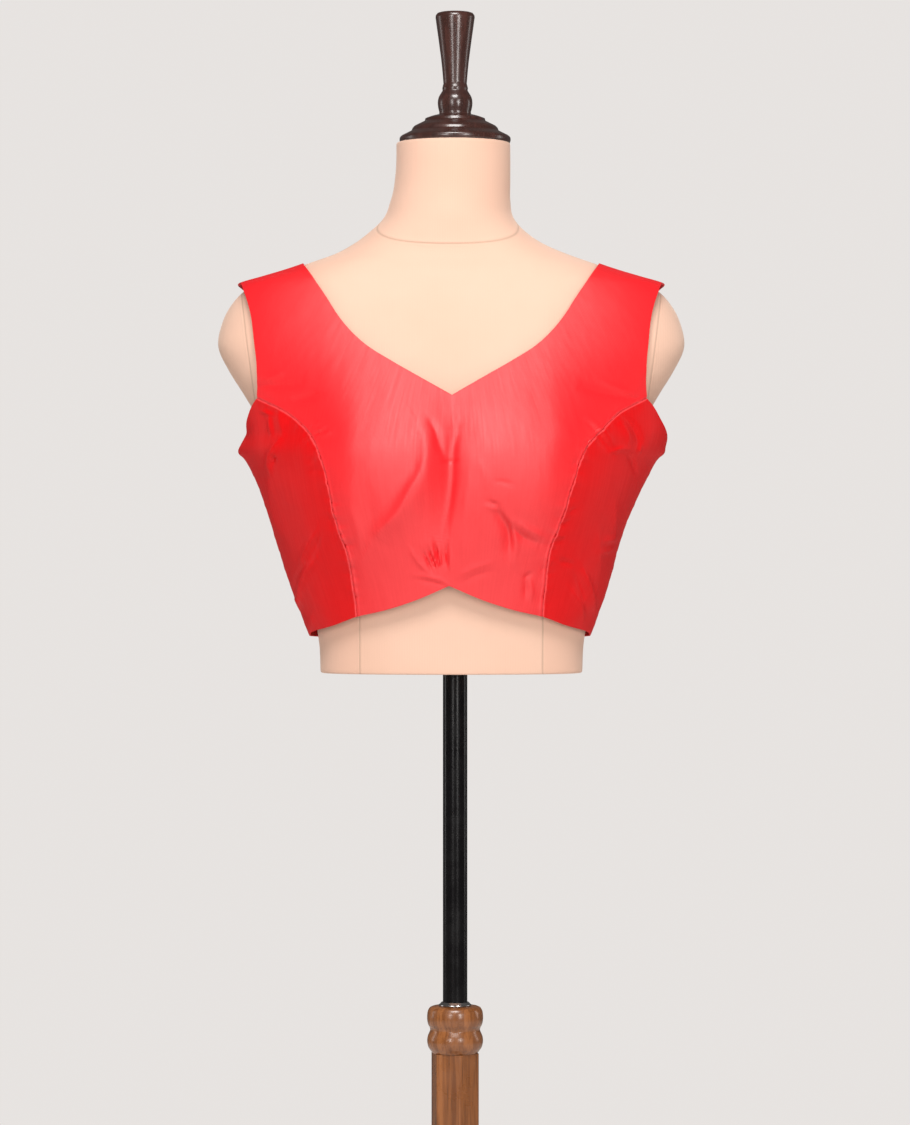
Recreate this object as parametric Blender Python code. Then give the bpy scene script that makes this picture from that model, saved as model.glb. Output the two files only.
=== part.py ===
# Sleeveless choli blouse worn by a limbless dress form on a wooden stand.
# +Z is up, the front faces -Y, and the origin is the middle of the base's underside.
# Every size below is in millimetres. Heights are measured from the floor.
import math

import bmesh
import bpy
import numpy as np
from mathutils import Matrix, Vector

MM = 0.001

# Driving dimensions of the blouse
WALL = 1.4  # cloth and its backing together
SEAM_GAP = 0.3  # between two pieces that are sewn together
SIDE_HEM = 937.0
BACK_HEM = 932.0
NOTCH_HEIGHT = 982.5  # top of the notch in the front hem
SEAM_FOOT = (81.7, 955.2)  # where the princess seam meets the hem: across, height
SEAM_HEAD = (173.0, 1148.8)  # where it meets the armhole
UNDERARM = 1104.0
NECK_V = 1149.7
BACK_NECK = 1192.0
STRAP_INNER = 133.5
STRAP_OUTER = 192.8
SHOULDER_SEAM_BACK = 13.0  # how far behind the pole's axis the shoulder seam lies
UNDERLAP = 20.0  # how far the back opening's strip reaches under the other side
UNDERLAP_SEWN = 9.0  # how far it is sewn under its own side
UNDERLAP_WALL = 1.1

# Driving dimensions of the dress form and its stand
FORM_BOTTOM = 904.0
NECK_TOP = 1380.6
FORM_POINTS = 44  # around each section of the form
POLE_RADIUS = 11.0
BORE_RADIUS = 11.4
POLE_BOTTOM = 350.0
SOCKET_DEPTH = 60.0  # how far the pole stands into the form
STAND_TOP = 604.0
COLLAR_HEIGHT = 42.0
FERRULE_HEIGHT = 3.6
COLUMN_SIDE = 22.6  # one side of the hexagon
COLUMN_TURN = 13.0  # degrees, how far the column's front face looks to the right
BASE_RADIUS = 175.0
HUB_TOP = 62.0
SEAT = 0.3  # play where one piece stands on another
ROUND_STEPS = 28  # sides of a turned piece

# The dress form's level sections. Front and back are where the section's middle line ends.
FORM_SECTIONS = (
    # height, half width, front, back, middle, squareness
    (904.0, 117.6, -80.0, 70.0, -2.0, 2.3),
    (930.0, 118.8, -83.5, 73.5, -2.0, 2.3),
    (960.0, 124.5, -88.5, 79.5, -1.0, 2.3),
    (1000.0, 137.0, -96.0, 88.0, 0.0, 2.3),
    (1040.0, 149.0, -102.0, 95.0, 0.0, 2.3),
    (1080.0, 160.0, -106.0, 100.0, 1.0, 2.3),
    (1110.0, 167.0, -106.0, 103.0, 2.0, 2.3),
    (1135.0, 176.0, -102.0, 105.0, 3.0, 2.3),
    (1155.0, 187.5, -97.0, 106.0, 4.0, 2.3),
    (1175.0, 200.0, -90.0, 106.0, 5.0, 2.3),
    (1198.0, 210.0, -81.0, 104.0, 6.0, 2.3),
    (1215.0, 207.5, -74.5, 102.0, 7.0, 2.3),
    (1232.0, 200.0, -68.5, 99.0, 8.0, 2.3),
    (1246.0, 188.0, -64.0, 95.0, 8.0, 2.3),
    (1255.0, 175.0, -61.5, 91.0, 8.0, 2.3),
    (1264.0, 151.0, -59.0, 86.0, 8.0, 2.3),
    (1272.0, 129.0, -57.5, 81.0, 7.0, 2.25),
    (1280.0, 106.0, -56.0, 76.0, 6.0, 2.2),
    (1290.0, 85.0, -55.5, 70.0, 4.0, 2.1),
    (1300.0, 70.8, -55.5, 64.0, 2.0, 2.05),
    (1312.0, 59.0, -55.5, 59.0, 1.0, 2.0),
    (1328.0, 54.0, -53.5, 55.0, 0.5, 2.0),
    (1350.0, 51.8, -51.8, 52.0, 0.0, 2.0),
    (1366.0, 51.3, -51.3, 51.3, 0.0, 2.0),
    (1380.6, 51.2, -51.2, 51.2, 0.0, 2.0),
)

# The worn blouse's level sections, which stand off the form most under the arms.
CLOTH_SECTIONS = (
    # height, half width, front, back, middle, squareness
    (900.0, 118.0, -85.0, 75.0, -2.0, 2.2),
    (925.0, 121.0, -89.5, 79.5, -2.0, 2.2),
    (942.0, 127.0, -92.5, 83.0, -1.5, 2.2),
    (956.0, 132.0, -95.5, 86.0, -1.0, 2.2),
    (983.0, 141.5, -100.5, 92.0, 0.0, 2.15),
    (1010.0, 149.5, -105.0, 97.0, 0.0, 2.15),
    (1037.0, 158.0, -108.5, 102.0, 0.0, 2.15),
    (1064.0, 169.0, -111.0, 106.0, 0.5, 2.15),
    (1091.0, 182.5, -111.5, 108.5, 1.5, 2.15),
    (1104.0, 190.5, -111.0, 109.5, 2.0, 2.18),
    (1118.0, 193.0, -109.5, 110.5, 2.5, 2.2),
    (1135.0, 194.5, -106.5, 111.0, 3.0, 2.25),
    (1149.0, 197.5, -102.5, 111.0, 3.7, 2.3),
    (1160.0, 201.0, -99.0, 111.0, 4.2, 2.3),
    (1175.0, 207.5, -94.0, 110.5, 5.0, 2.32),
    (1198.0, 215.5, -85.0, 108.5, 6.0, 2.35),
    (1222.0, 213.5, -76.0, 105.0, 7.5, 2.35),
    (1236.0, 209.0, -71.5, 101.5, 8.0, 2.35),
    (1248.0, 200.5, -67.5, 97.5, 8.0, 2.35),
    (1254.8, 190.5, -65.5, 94.5, 8.0, 2.35),
    (1260.3, 171.5, -63.5, 91.0, 8.0, 2.35),
    (1266.2, 151.5, -61.8, 87.5, 8.0, 2.35),
    (1273.2, 131.0, -60.2, 83.3, 7.5, 2.3),
    (1283.2, 108.0, -58.8, 79.0, 6.0, 2.2),
    (1298.0, 80.0, -58.0, 69.0, 4.0, 2.1),
)

# The blouse is worn a little to its left lower down, and the form leans the same way.
SWAY = (
    # height, shift of the cloth, shift of the form
    (904.0, -4.6, -3.3),
    (942.0, -4.7, -3.3),
    (970.0, -5.0, -3.3),
    (996.0, -5.6, -3.3),
    (1023.0, -6.2, -3.2),
    (1050.0, -5.2, -3.0),
    (1077.0, -3.8, -2.8),
    (1104.0, -2.9, -2.8),
    (1116.0, -0.8, -2.8),
    (1132.0, -1.4, -2.9),
    (1150.0, -2.7, -3.2),
    (1185.0, -3.2, -3.4),
    (1215.0, -3.5, -3.5),
    (1240.0, -3.5, -3.5),
    (1274.0, -3.5, -3.5),
    (1279.0, -3.5, -3.5),
    (1289.0, -3.5, -5.7),
    (1299.0, -3.5, -6.6),
    (1312.0, -3.5, -5.8),
    (1325.0, -3.5, -4.6),
    (1340.0, -3.5, -2.8),
    (1354.0, -3.5, -1.9),
    (1400.0, -3.5, -1.9),
)

# The largest folds of the worn cloth, each a soft line seen from the front or from behind.
LARGE_FOLDS = (
    # from across, height, through across, height, to across, height, width, rise
    ((3.0, 1142.0), (0.0, 1080.0), (-9.0, 1014.0), 14.0, -2.4),
    ((-30.0, 1122.0), (-22.0, 1082.0), (-58.0, 1032.0), 15.0, 1.8),
    ((38.0, 1058.0), (54.0, 1032.0), (54.0, 1002.0), 14.0, -1.8),
    ((-158.0, 1118.0), (-160.0, 1092.0), (-148.0, 1060.0), 14.0, 1.6),
    ((-118.0, 1022.0), (-131.0, 990.0), (-129.0, 958.0), 14.0, 1.5),
    ((148.0, 1128.0), (164.0, 1104.0), (168.0, 1080.0), 14.0, -1.5),
    ((118.0, 1000.0), (128.0, 975.0), (126.0, 952.0), 14.0, 1.5),
)
BACK_FOLDS = (
    ((-118.0, 1082.0), (-70.0, 1066.0), (-16.0, 1060.0), 16.0, 1.6),
    ((-112.0, 1012.0), (-64.0, 1000.0), (-14.0, 1004.0), 15.0, 1.4),
    ((112.0, 1094.0), (66.0, 1074.0), (14.0, 1070.0), 16.0, 1.6),
    ((106.0, 998.0), (60.0, 990.0), (14.0, 982.0), 15.0, 1.4),
)

COLOURS = {
    # material: colour, roughness, metallic
    "red satin": ((0.80, 0.035, 0.05), 0.42, 0.0),
    "form cover": ((0.83, 0.67, 0.52), 0.8, 0.0),
    "dark varnished wood": ((0.065, 0.028, 0.022), 0.28, 0.0),
    "varnished wood": ((0.40, 0.19, 0.09), 0.35, 0.0),
    "black steel": ((0.012, 0.012, 0.014), 0.3, 0.6),
    "bright steel": ((0.45, 0.44, 0.45), 0.25, 1.0),
}


def material(name):
    found = bpy.data.materials.get(name)
    if found:
        return found
    colour, roughness, metallic = COLOURS[name]
    found = bpy.data.materials.new(name)
    found.use_nodes = True
    shader = found.node_tree.nodes["Principled BSDF"]
    shader.inputs["Base Color"].default_value = (*colour, 1.0)
    shader.inputs["Roughness"].default_value = roughness
    shader.inputs["Metallic"].default_value = metallic
    return found


def smooth_through(known, values, at):
    """Cubic curve through the values, with its slope at each one taken from both neighbours."""
    known, values, at = (np.asarray(a, float) for a in (known, values, at))
    slopes = np.gradient(values, known, axis=0)
    i = np.clip(np.searchsorted(known, at) - 1, 0, len(known) - 2)
    step = known[i + 1] - known[i]
    t = np.clip((at - known[i]) / step, 0.0, 1.0)
    if values.ndim > 1:
        t, step = t[..., None], step[..., None]
    rest = 1.0 - t
    return (
        values[i] * (1 + 2 * t) * rest**2
        + slopes[i] * step * t * rest**2
        + values[i + 1] * t**2 * (3 - 2 * t)
        - slopes[i + 1] * step * t**2 * rest
    )


# Surfaces of the form and of the worn cloth


class Skin:
    """A closed surface given by level sections, with two soft rises at the bust."""

    def __init__(self, sections, bust):
        self.rows = np.array(sections)
        self.bust = bust

    def section(self, height):
        height = np.clip(height, self.rows[0, 0], self.rows[-1, 0])
        values = smooth_through(self.rows[:, 0], self.rows[:, 1:], height)
        return np.moveaxis(values, -1, 0)

    def outside(self, points):
        """Below 0 inside the surface, above 0 outside."""
        x, y, z = np.moveaxis(points, -1, 0)
        half_width, front, back, middle, squareness = self.section(z)
        to_front = np.clip((middle - y) / BUST["fades_over"], 0.0, 1.0)
        y = y + to_front * bust_rise(x, z, **self.bust)
        depth = np.where(y < middle, middle - front, back - middle)
        over = np.clip(z - self.rows[-1, 0], 0.0, None)
        return (
            np.abs(x / half_width) ** squareness
            + np.abs((y - middle) / depth) ** squareness
            - 1.0
            + over
        )

    def cast(self, origins, directions, reach=320.0):
        """Where rays that start inside come out."""
        origins, directions = np.broadcast_arrays(
            np.asarray(origins, float), np.asarray(directions, float)
        )
        near = np.zeros(origins.shape[:-1])
        far = near + reach
        for _ in range(44):
            middle = (near + far) / 2
            out = self.outside(origins + directions * middle[..., None]) > 0
            far = np.where(out, middle, far)
            near = np.where(out, near, middle)
        return origins + directions * near[..., None]

    def front(self, across, height):
        return self._straight(across, height, -1.0)

    def back(self, across, height):
        return self._straight(across, height, 1.0)

    def _straight(self, across, height, way):
        across, height = np.broadcast_arrays(
            np.asarray(across, float), np.asarray(height, float)
        )
        middle = self.section(height)[3]
        return self.cast(
            np.stack([across, middle, height], axis=-1), np.array([0.0, way, 0.0])
        )

    def around(self, degrees, height):
        """A point at this height, so many degrees round from the front."""
        degrees, height = np.broadcast_arrays(
            np.asarray(degrees, float), np.asarray(height, float)
        )
        turn = np.radians(degrees)
        way = np.stack([np.sin(turn), -np.cos(turn), 0 * turn], axis=-1)
        middle = self.section(height)[3]
        return self.cast(np.stack([0 * height, middle, height], axis=-1), way)

    def top(self, across, back):
        across, back = np.broadcast_arrays(
            np.asarray(across, float), np.asarray(back, float)
        )
        low = np.full(across.shape, BUST["inner_axis"])
        return self.cast(
            np.stack([across, back, low], axis=-1), np.array([0.0, 0.0, 1.0])
        )

    def settle(self, points):
        """Moves points near the surface onto it, away from an axis inside it."""
        x, y, z = np.moveaxis(points, -1, 0)
        share = np.clip((z - 1150.0) / 90.0, 0.0, 1.0)
        share = 0.75 * share * share * (3 - 2 * share)
        level = np.minimum(z, BUST["inner_axis"])
        axis = np.stack([x * share, self.section(z)[3], level], axis=-1)
        way = points - axis
        way /= np.linalg.norm(way, axis=-1, keepdims=True)
        return self.cast(axis, way)

    def normals(self, points, step=0.4):
        slope = np.zeros(points.shape)
        for axis in range(3):
            move = np.zeros(3)
            move[axis] = step
            slope[..., axis] = self.outside(points + move) - self.outside(points - move)
        return slope / np.linalg.norm(slope, axis=-1, keepdims=True)


BUST = {"across": 84.0, "height": 1084.0, "fades_over": 55.0, "inner_axis": 1195.0}
FORM_BUST = {"rise": 29.0, "outer": 50.0, "inner": 62.0, "above": 62.0, "below": 44.0}
CLOTH_BUST = {"rise": 31.0, "outer": 60.0, "inner": 150.0, "above": 76.0, "below": 84.0}


def bust_rise(x, z, rise, outer, inner, above, below):
    out = np.abs(x) - BUST["across"]
    up = z - BUST["height"]
    across = np.exp(-((out / np.where(out > 0, outer, inner)) ** 2))
    return rise * across * np.exp(-((up / np.where(up > 0, above, below)) ** 2))


def sway(heights, column):
    """How far the cloth (1) or the form (2) is moved sideways at each height."""
    table = np.array(SWAY)
    return smooth_through(table[:, 0], table[:, column], heights)


def fold_height(points, folds):
    """How far the folds lift the cloth, for points seen straight from the front or back."""
    lift = np.zeros(points.shape[:-1])
    seen = points[..., [0, 2]]
    for start, through, end, width, rise in folds:
        line = smooth_through([0.0, 0.5, 1.0], [start, through, end], np.linspace(0, 1, 25))
        away = np.linalg.norm(seen[..., None, :] - line, axis=-1)
        nearest = away.argmin(axis=-1)
        along = nearest / (len(line) - 1)
        fade = np.sin(math.pi * np.clip(0.08 + 0.84 * along, 0, 1)) ** 0.7
        lift += rise * fade * np.exp(-((away.min(axis=-1) / width) ** 2))
    return lift


def spaced_curve(points, count):
    """The smooth curve through the points, at count + 1 places evenly along it."""
    points = np.asarray(points, float)
    steps = np.linalg.norm(np.diff(points, axis=0), axis=1)
    along = np.concatenate([[0.0], np.cumsum(steps)])
    return smooth_through(along, points, np.linspace(0.0, along[-1], count + 1))


def joined(*curves):
    """Curves end to end, with their shared corners kept once."""
    rest = [curve[1:] for curve in curves[1:]]
    return np.concatenate([curves[0], *rest])


def shares(curve):
    steps = np.linalg.norm(np.diff(curve, axis=0), axis=1)
    along = np.concatenate([[0.0], np.cumsum(steps)])
    return along / along[-1]


def patch(skin, bottom, top, left, right, reach=1.0):
    """A grid of points between four edges, laid on the skin.

    The right edge's own shape carries less far into the patch with a larger reach.
    """
    s = (((shares(bottom) + shares(top)) / 2) ** reach)[None, :, None]
    t = ((shares(left) + shares(right)) / 2)[:, None, None]
    corners = (
        (1 - s) * (1 - t) * bottom[0]
        + s * (1 - t) * bottom[-1]
        + (1 - s) * t * top[0]
        + s * t * top[-1]
    )
    flat = (1 - t) * bottom + t * top + (1 - s) * left[:, None] + s * right[:, None]
    grid = skin.settle(flat - corners)
    grid[0], grid[-1] = skin.settle(bottom), skin.settle(top)
    grid[:, 0], grid[:, -1] = skin.settle(left), skin.settle(right)
    return grid


def inward(edge, normal):
    """The way from a border edge into its sheet, square to the edge."""
    along = (edge.verts[1].co - edge.verts[0].co).normalized()
    way = normal.cross(along).normalized()
    into = edge.link_faces[0].calc_center_median() - edge.verts[0].co
    return way if way.dot(into) > 0 else -way


def sheet_of(grids):
    """One open sheet, in millimetres, of grids that share their edges' points."""
    bm = bmesh.new()
    for grid in grids:
        points = [[bm.verts.new(p) for p in row] for row in grid]
        for low, high in zip(points, points[1:]):
            for k in range(len(low) - 1):
                bm.faces.new((low[k], low[k + 1], high[k + 1], high[k]))
    bmesh.ops.remove_doubles(bm, verts=bm.verts, dist=0.01)
    bmesh.ops.triangulate(bm, faces=bm.faces, quad_method="SHORT_EDGE")
    return bm


def add_object(name, mesh, material_name):
    mesh.materials.append(material(material_name))
    obj = bpy.data.objects.new(name, mesh)
    bpy.context.scene.collection.objects.link(obj)
    return obj


def mesh_of(bm, name, smooth=True):
    bmesh.ops.remove_doubles(bm, verts=bm.verts, dist=1e-6)
    bmesh.ops.recalc_face_normals(bm, faces=bm.faces)
    mesh = bpy.data.meshes.new(name)
    bm.to_mesh(mesh)
    bm.free()
    if smooth:
        mesh.shade_smooth()
        mesh.set_sharp_from_angle(angle=math.radians(35))
    return mesh


def sewn_piece(name, grids, folds, wall=WALL, under=0.0):
    """A closed wall of cloth on its grids of points, with its share of the large folds."""
    bm = sheet_of(grids)
    outer = list(bm.verts)
    places = np.array([v.co for v in outer])
    normals = CLOTH.normals(places)
    lift = fold_height(places, folds) - under
    drawn = []
    for vert, normal in zip(outer, normals):
        ways = [inward(e, Vector(normal)) for e in vert.link_edges if e.is_boundary]
        if ways:
            spread = 1.0 + ways[0].dot(ways[1])
            drawn.append((ways[0] + ways[1]) * (SEAM_GAP / 2 / max(spread, 0.5)))
        else:
            drawn.append(Vector((0, 0, 0)))
    places += normals * lift[:, None] + np.array(drawn)
    places[:, 0] += sway(places[:, 2], 1)
    border = [e for e in bm.edges if e.is_boundary]
    inner = {}
    for vert, place, normal in zip(outer, places, normals):
        vert.co = place
        inner[vert] = bm.verts.new(place - normal * wall)
    for face in list(bm.faces):
        bm.faces.new([inner[v] for v in reversed(face.verts)])
    for edge in border:
        start, end = edge.verts
        bm.faces.new((start, end, inner[end], inner[start]))
    bmesh.ops.scale(bm, verts=bm.verts, vec=(MM, MM, MM))
    return add_object(name, mesh_of(bm, name), "red satin")


def mirrored(grid):
    """The same piece for the other side, with its columns in the same left to right order."""
    return (grid * np.array([-1.0, 1.0, 1.0]))[:, ::-1]


# Edges of the blouse's pieces, for the side of +X

ROWS_LOW, ROWS_HIGH = 15, 8  # hem to armhole, armhole to shoulder
STRAP_COLUMNS, NECK_COLUMNS = 4, 11
SIDE_COLUMNS, UNDERARM_COLUMNS = 9, 5
ARMHOLE_TURN = (107.0, 1143.0)  # where the back armhole turns upright: degrees, height
BACK_RIB_FOOT = 117.0  # where the line from there down the back meets the hem, in degrees


def hem_front():
    """The front hem from the notch to the princess seam."""
    places = ((0.0, NOTCH_HEIGHT), (28.5, 970.2), (56.0, 961.2), SEAM_FOOT)
    return CLOTH.front(*np.transpose(places))


def princess_seam():
    places = (
        SEAM_FOOT,
        (82.6, 968.0),
        (84.6, 984.0),
        (88.8, 1012.0),
        (94.3, 1027.0),
        (100.6, 1044.4),
        (105.4, 1064.4),
        (110.6, 1083.6),
        (117.4, 1102.0),
        (130.4, 1120.0),
        (144.4, 1133.2),
        SEAM_HEAD,
    )
    return CLOTH.front(*np.transpose(places))


def armhole_front():
    places = (SEAM_HEAD, (172.6, 1169.0), (173.2, 1182.5), (176.2, 1209.0), (181.8, 1236.0))
    edge = CLOTH.front(*np.transpose(places))
    ridge = CLOTH.top([STRAP_OUTER - 4.0, STRAP_OUTER], [-12.0, SHOULDER_SEAM_BACK])
    return np.concatenate([edge, ridge])


def neckline_front():
    """The front neckline from the shoulder seam down to the V."""
    places = (
        (128.6, 1265.0),
        (120.8, 1253.6),
        (109.4, 1236.5),
        (100.7, 1222.6),
        (89.7, 1208.6),
        (75.0, 1194.7),
        (54.0, 1181.0),
        (31.0, 1167.5),
        (0.0, NECK_V),
    )
    shoulder = CLOTH.top([STRAP_INNER], [SHOULDER_SEAM_BACK])
    return np.concatenate([shoulder, CLOTH.front(*np.transpose(places))])


def shoulder_seam(count):
    across = np.linspace(STRAP_OUTER, STRAP_INNER, count + 1)
    return CLOTH.top(across, SHOULDER_SEAM_BACK)


def armhole_side():
    """The armhole under the arm, from the princess seam round to the side seam."""
    degrees = (71.0, 76.0, 81.5, 85.5, 88.0, 90.0)
    edge = CLOTH.around(degrees, (1138.0, 1130.0, 1121.5, 1114.5, 1108.5, UNDERARM))
    return np.concatenate([CLOTH.front([SEAM_HEAD[0]], [SEAM_HEAD[1]]), edge])


def hem_side():
    """The hem from the princess seam round to the side seam."""
    middle = CLOTH.around([58.0, 75.0, 90.0], [947.5, 941.5, SIDE_HEM])
    return np.concatenate([CLOTH.front([SEAM_FOOT[0]], [SEAM_FOOT[1]]), middle])


def side_seam():
    return CLOTH.around(90.0, np.linspace(SIDE_HEM, UNDERARM, 9))


def hem_back(start, end):
    """The back hem between two places round from the front, in degrees."""
    degrees = np.linspace(start, end, 9)
    drop = SIDE_HEM - (SIDE_HEM - BACK_HEM) * np.sin(np.radians(degrees - 90.0))
    return CLOTH.around(degrees, drop)


def armhole_under():
    """The armhole from the side seam round under the arm to where it turns upright."""
    degrees = (90.0, 94.0, 98.5, 103.0, ARMHOLE_TURN[0])
    return CLOTH.around(degrees, (UNDERARM, 1103.5, 1108.0, 1121.0, ARMHOLE_TURN[1]))


def armhole_back():
    """The upright part of the back armhole, up to the shoulder seam."""
    turn = CLOTH.around([ARMHOLE_TURN[0]], [ARMHOLE_TURN[1]])
    high = CLOTH.back([180.5, 178.0, 179.0, 184.5], [1168.0, 1192.0, 1218.0, 1242.0])
    return np.concatenate([turn, high, CLOTH.top([STRAP_OUTER], [SHOULDER_SEAM_BACK])])


def back_rib():
    """The line up the back, from the hem to the armhole, that parts its two grids."""
    foot = hem_back(BACK_RIB_FOOT, 180.0)[0, 2]
    degrees = (BACK_RIB_FOOT, 115.0, 112.0, ARMHOLE_TURN[0])
    return CLOTH.around(degrees, (foot, 1000.0, 1075.0, ARMHOLE_TURN[1]))


def neckline_back():
    """The back neckline from the middle of the back up to the shoulder seam."""
    places = ((0, 1192), (34, 1195), (62, 1206), (84, 1223), (102, 1242), (119, 1259))
    edge = CLOTH.back(*np.transpose(places))
    return np.concatenate([edge, CLOTH.top([STRAP_INNER], [SHOULDER_SEAM_BACK])])


def centre_back():
    return CLOTH.back(0.0, np.linspace(BACK_HEM, BACK_NECK, 12))


def make_front():
    """The front is one piece, with both straps."""
    side = joined(
        spaced_curve(princess_seam(), ROWS_LOW), spaced_curve(armhole_front(), ROWS_HIGH)
    )
    across = joined(
        shoulder_seam(STRAP_COLUMNS), spaced_curve(neckline_front(), NECK_COLUMNS)
    )[::-1]
    hem = spaced_curve(hem_front(), STRAP_COLUMNS + NECK_COLUMNS)
    middle = CLOTH.front(0.0, np.linspace(NOTCH_HEIGHT, NECK_V, ROWS_LOW + ROWS_HIGH + 1))
    half = patch(CLOTH, hem, across, middle, side, reach=2.5)
    sewn_piece("front", [mirrored(half), half], LARGE_FOLDS)


def make_side_fronts():
    bottom = spaced_curve(hem_side(), SIDE_COLUMNS)
    top = spaced_curve(armhole_side(), SIDE_COLUMNS)
    left = spaced_curve(princess_seam(), ROWS_LOW)
    right = spaced_curve(side_seam(), ROWS_LOW)
    grid = patch(CLOTH, bottom, top, left, right)
    sewn_piece("side_front_right", [grid], LARGE_FOLDS)
    sewn_piece("side_front_left", [mirrored(grid)], LARGE_FOLDS)


def make_backs():
    """Each back runs from the side seam to the middle, where the blouse opens."""
    rib = spaced_curve(back_rib(), ROWS_LOW)
    under_arm = patch(
        CLOTH,
        spaced_curve(hem_back(90.0, BACK_RIB_FOOT), UNDERARM_COLUMNS),
        spaced_curve(armhole_under(), UNDERARM_COLUMNS),
        spaced_curve(side_seam(), ROWS_LOW),
        rib,
    )
    inner = joined(rib, spaced_curve(armhole_back(), ROWS_HIGH))
    neck = spaced_curve(neckline_back(), NECK_COLUMNS)
    top = joined(neck, shoulder_seam(STRAP_COLUMNS)[::-1])
    hem = spaced_curve(hem_back(BACK_RIB_FOOT, 180.0)[::-1], len(top) - 1)
    middle = spaced_curve(centre_back(), len(inner) - 1)
    main = patch(CLOTH, hem, top, middle, inner, reach=2.5)[:, ::-1]
    sewn_piece("back_right", [under_arm, main], BACK_FOLDS)
    sewn_piece("back_left", [mirrored(under_arm), mirrored(main)], BACK_FOLDS)


def make_underlap():
    """The strip that closes the back opening from inside, under both back edges."""
    across = np.linspace(UNDERLAP_SEWN, -UNDERLAP, 5)
    heights = np.linspace(BACK_HEM + 1.0, BACK_NECK - 1.0, 15)
    grid = CLOTH.back(across[None, :], heights[:, None])
    under = WALL + SEAM_GAP
    sewn_piece("back_underlap", [grid], BACK_FOLDS, UNDERLAP_WALL, under)


def make_form():
    """The limbless torso with its neck, with a socket in its underside for the pole."""
    low = np.linspace(FORM_BOTTOM, 1232.0, 20)
    shoulder = np.linspace(1239.0, 1304.0, 14)
    neck = np.linspace(1312.0, NECK_TOP, 6)
    heights = np.concatenate([low, shoulder, neck])
    turns = np.linspace(0.0, 360.0, FORM_POINTS, endpoint=False)
    rings = FORM.around(turns[None, :], heights[:, None])
    rings[..., 0] += sway(rings[..., 2], 2)
    round_edge = 1.6
    first, last = rings[0].copy(), rings[-1].copy()
    rings[0, :, 2] += round_edge
    rings[-1, :, 2] -= round_edge
    for end, place in ((first, 0), (last, len(rings) + 1)):
        middle = end.mean(axis=0)
        end[:, :2] -= (end - middle)[:, :2] * round_edge / 90.0
        rings = np.insert(rings, place, end, axis=0)
    bm = bmesh.new()
    points = [[bm.verts.new(p * MM) for p in ring] for ring in rings]
    for lower, upper in zip(points, points[1:]):
        for k in range(FORM_POINTS):
            after = (k + 1) % FORM_POINTS
            bm.faces.new((lower[k], lower[after], upper[after], upper[k]))
    bm.faces.new(points[0][::-1])
    bm.faces.new(points[-1])
    form = add_object("dress_form", mesh_of(bm, "dress_form"), "form cover")
    cut_round(form, BORE_RADIUS, (0, 0, FORM_BOTTOM), (0, 0, 1), SOCKET_DEPTH, 5.0)


# Stand


def turned(name, profile, material_name):
    """A turned piece from its outline, as (radius, height) pairs; a hollow one's outline closes."""
    bm = bmesh.new()
    points = [bm.verts.new((r * MM, 0.0, z * MM)) for r, z in profile]
    edges = [bm.edges.new(pair) for pair in zip(points, points[1:])]
    if profile[0][0] > 0:
        edges.append(bm.edges.new((points[-1], points[0])))
    bmesh.ops.spin(
        bm,
        geom=points + edges,
        cent=(0, 0, 0),
        axis=(0, 0, 1),
        angle=math.tau,
        steps=ROUND_STEPS,
        use_merge=True,
    )
    return add_object(name, mesh_of(bm, name), material_name)


def rod(name, radius, start, way, length, material_name):
    """A straight round bar from start, so far along way."""
    from_z = {(0, 0, 1): (0, 0, 0), (0, 1, 0): (-math.pi / 2, 0, 0)}[way]
    bm = bmesh.new()
    bmesh.ops.create_cone(
        bm,
        cap_ends=True,
        segments=ROUND_STEPS,
        radius1=radius * MM,
        radius2=radius * MM,
        depth=length * MM,
    )
    bmesh.ops.translate(bm, verts=bm.verts, vec=(0, 0, length * MM / 2))
    obj = add_object(name, mesh_of(bm, name), material_name)
    obj.rotation_euler = from_z
    obj.location = [c * MM for c in start]
    return obj


def cut_round(obj, radius, start, way, depth, before):
    """Bores a round hole from start along way, starting a little before the surface."""
    start = [c - before * w for c, w in zip(start, way)]
    cutter = rod(obj.name + "_bore", radius, start, way, depth + before, "black steel")
    cutter.hide_render = True
    cutter.display_type = "WIRE"
    bore = obj.modifiers.new("bore", "BOOLEAN")
    bore.operation = "DIFFERENCE"
    bore.solver = "EXACT"
    bore.object = cutter


def make_neck_knob():
    """The turned handle on the neck, from its stepped foot up to its flared top."""
    foot = NECK_TOP + SEAT
    profile = (
        (0.0, foot),
        (49.3, foot),
        (49.8, foot + 1.2),
        (49.6, foot + 4.6),
        (47.8, foot + 6.2),
        (43.0, foot + 8.6),
        (39.2, foot + 10.6),
        (38.4, foot + 12.8),
        (36.6, foot + 14.8),
        (31.0, foot + 17.6),
        (27.4, foot + 19.4),
        (26.8, foot + 21.6),
        (22.0, foot + 23.4),
        (14.4, foot + 25.4),
        (14.2, foot + 27.4),
        (15.2, foot + 31.4),
        (15.6, foot + 35.9),
        (14.8, foot + 40.6),
        (12.2, foot + 45.2),
        (11.3, foot + 46.7),
        (11.5, foot + 49.0),
        (11.0, foot + 51.2),
        (10.5, foot + 53.0),
        (11.8, foot + 68.0),
        (14.8, foot + 92.0),
        (17.4, foot + 111.0),
        (17.7, foot + 113.6),
        (15.8, foot + 116.4),
        (12.0, foot + 117.2),
        (0.0, foot + 117.4),
    )
    turned("neck_knob", profile, "dark varnished wood")


def make_pole():
    top = FORM_BOTTOM + SOCKET_DEPTH - SEAT
    rod("pole", POLE_RADIUS, (0, 0, POLE_BOTTOM), (0, 0, 1), top - POLE_BOTTOM, "black steel")


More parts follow.
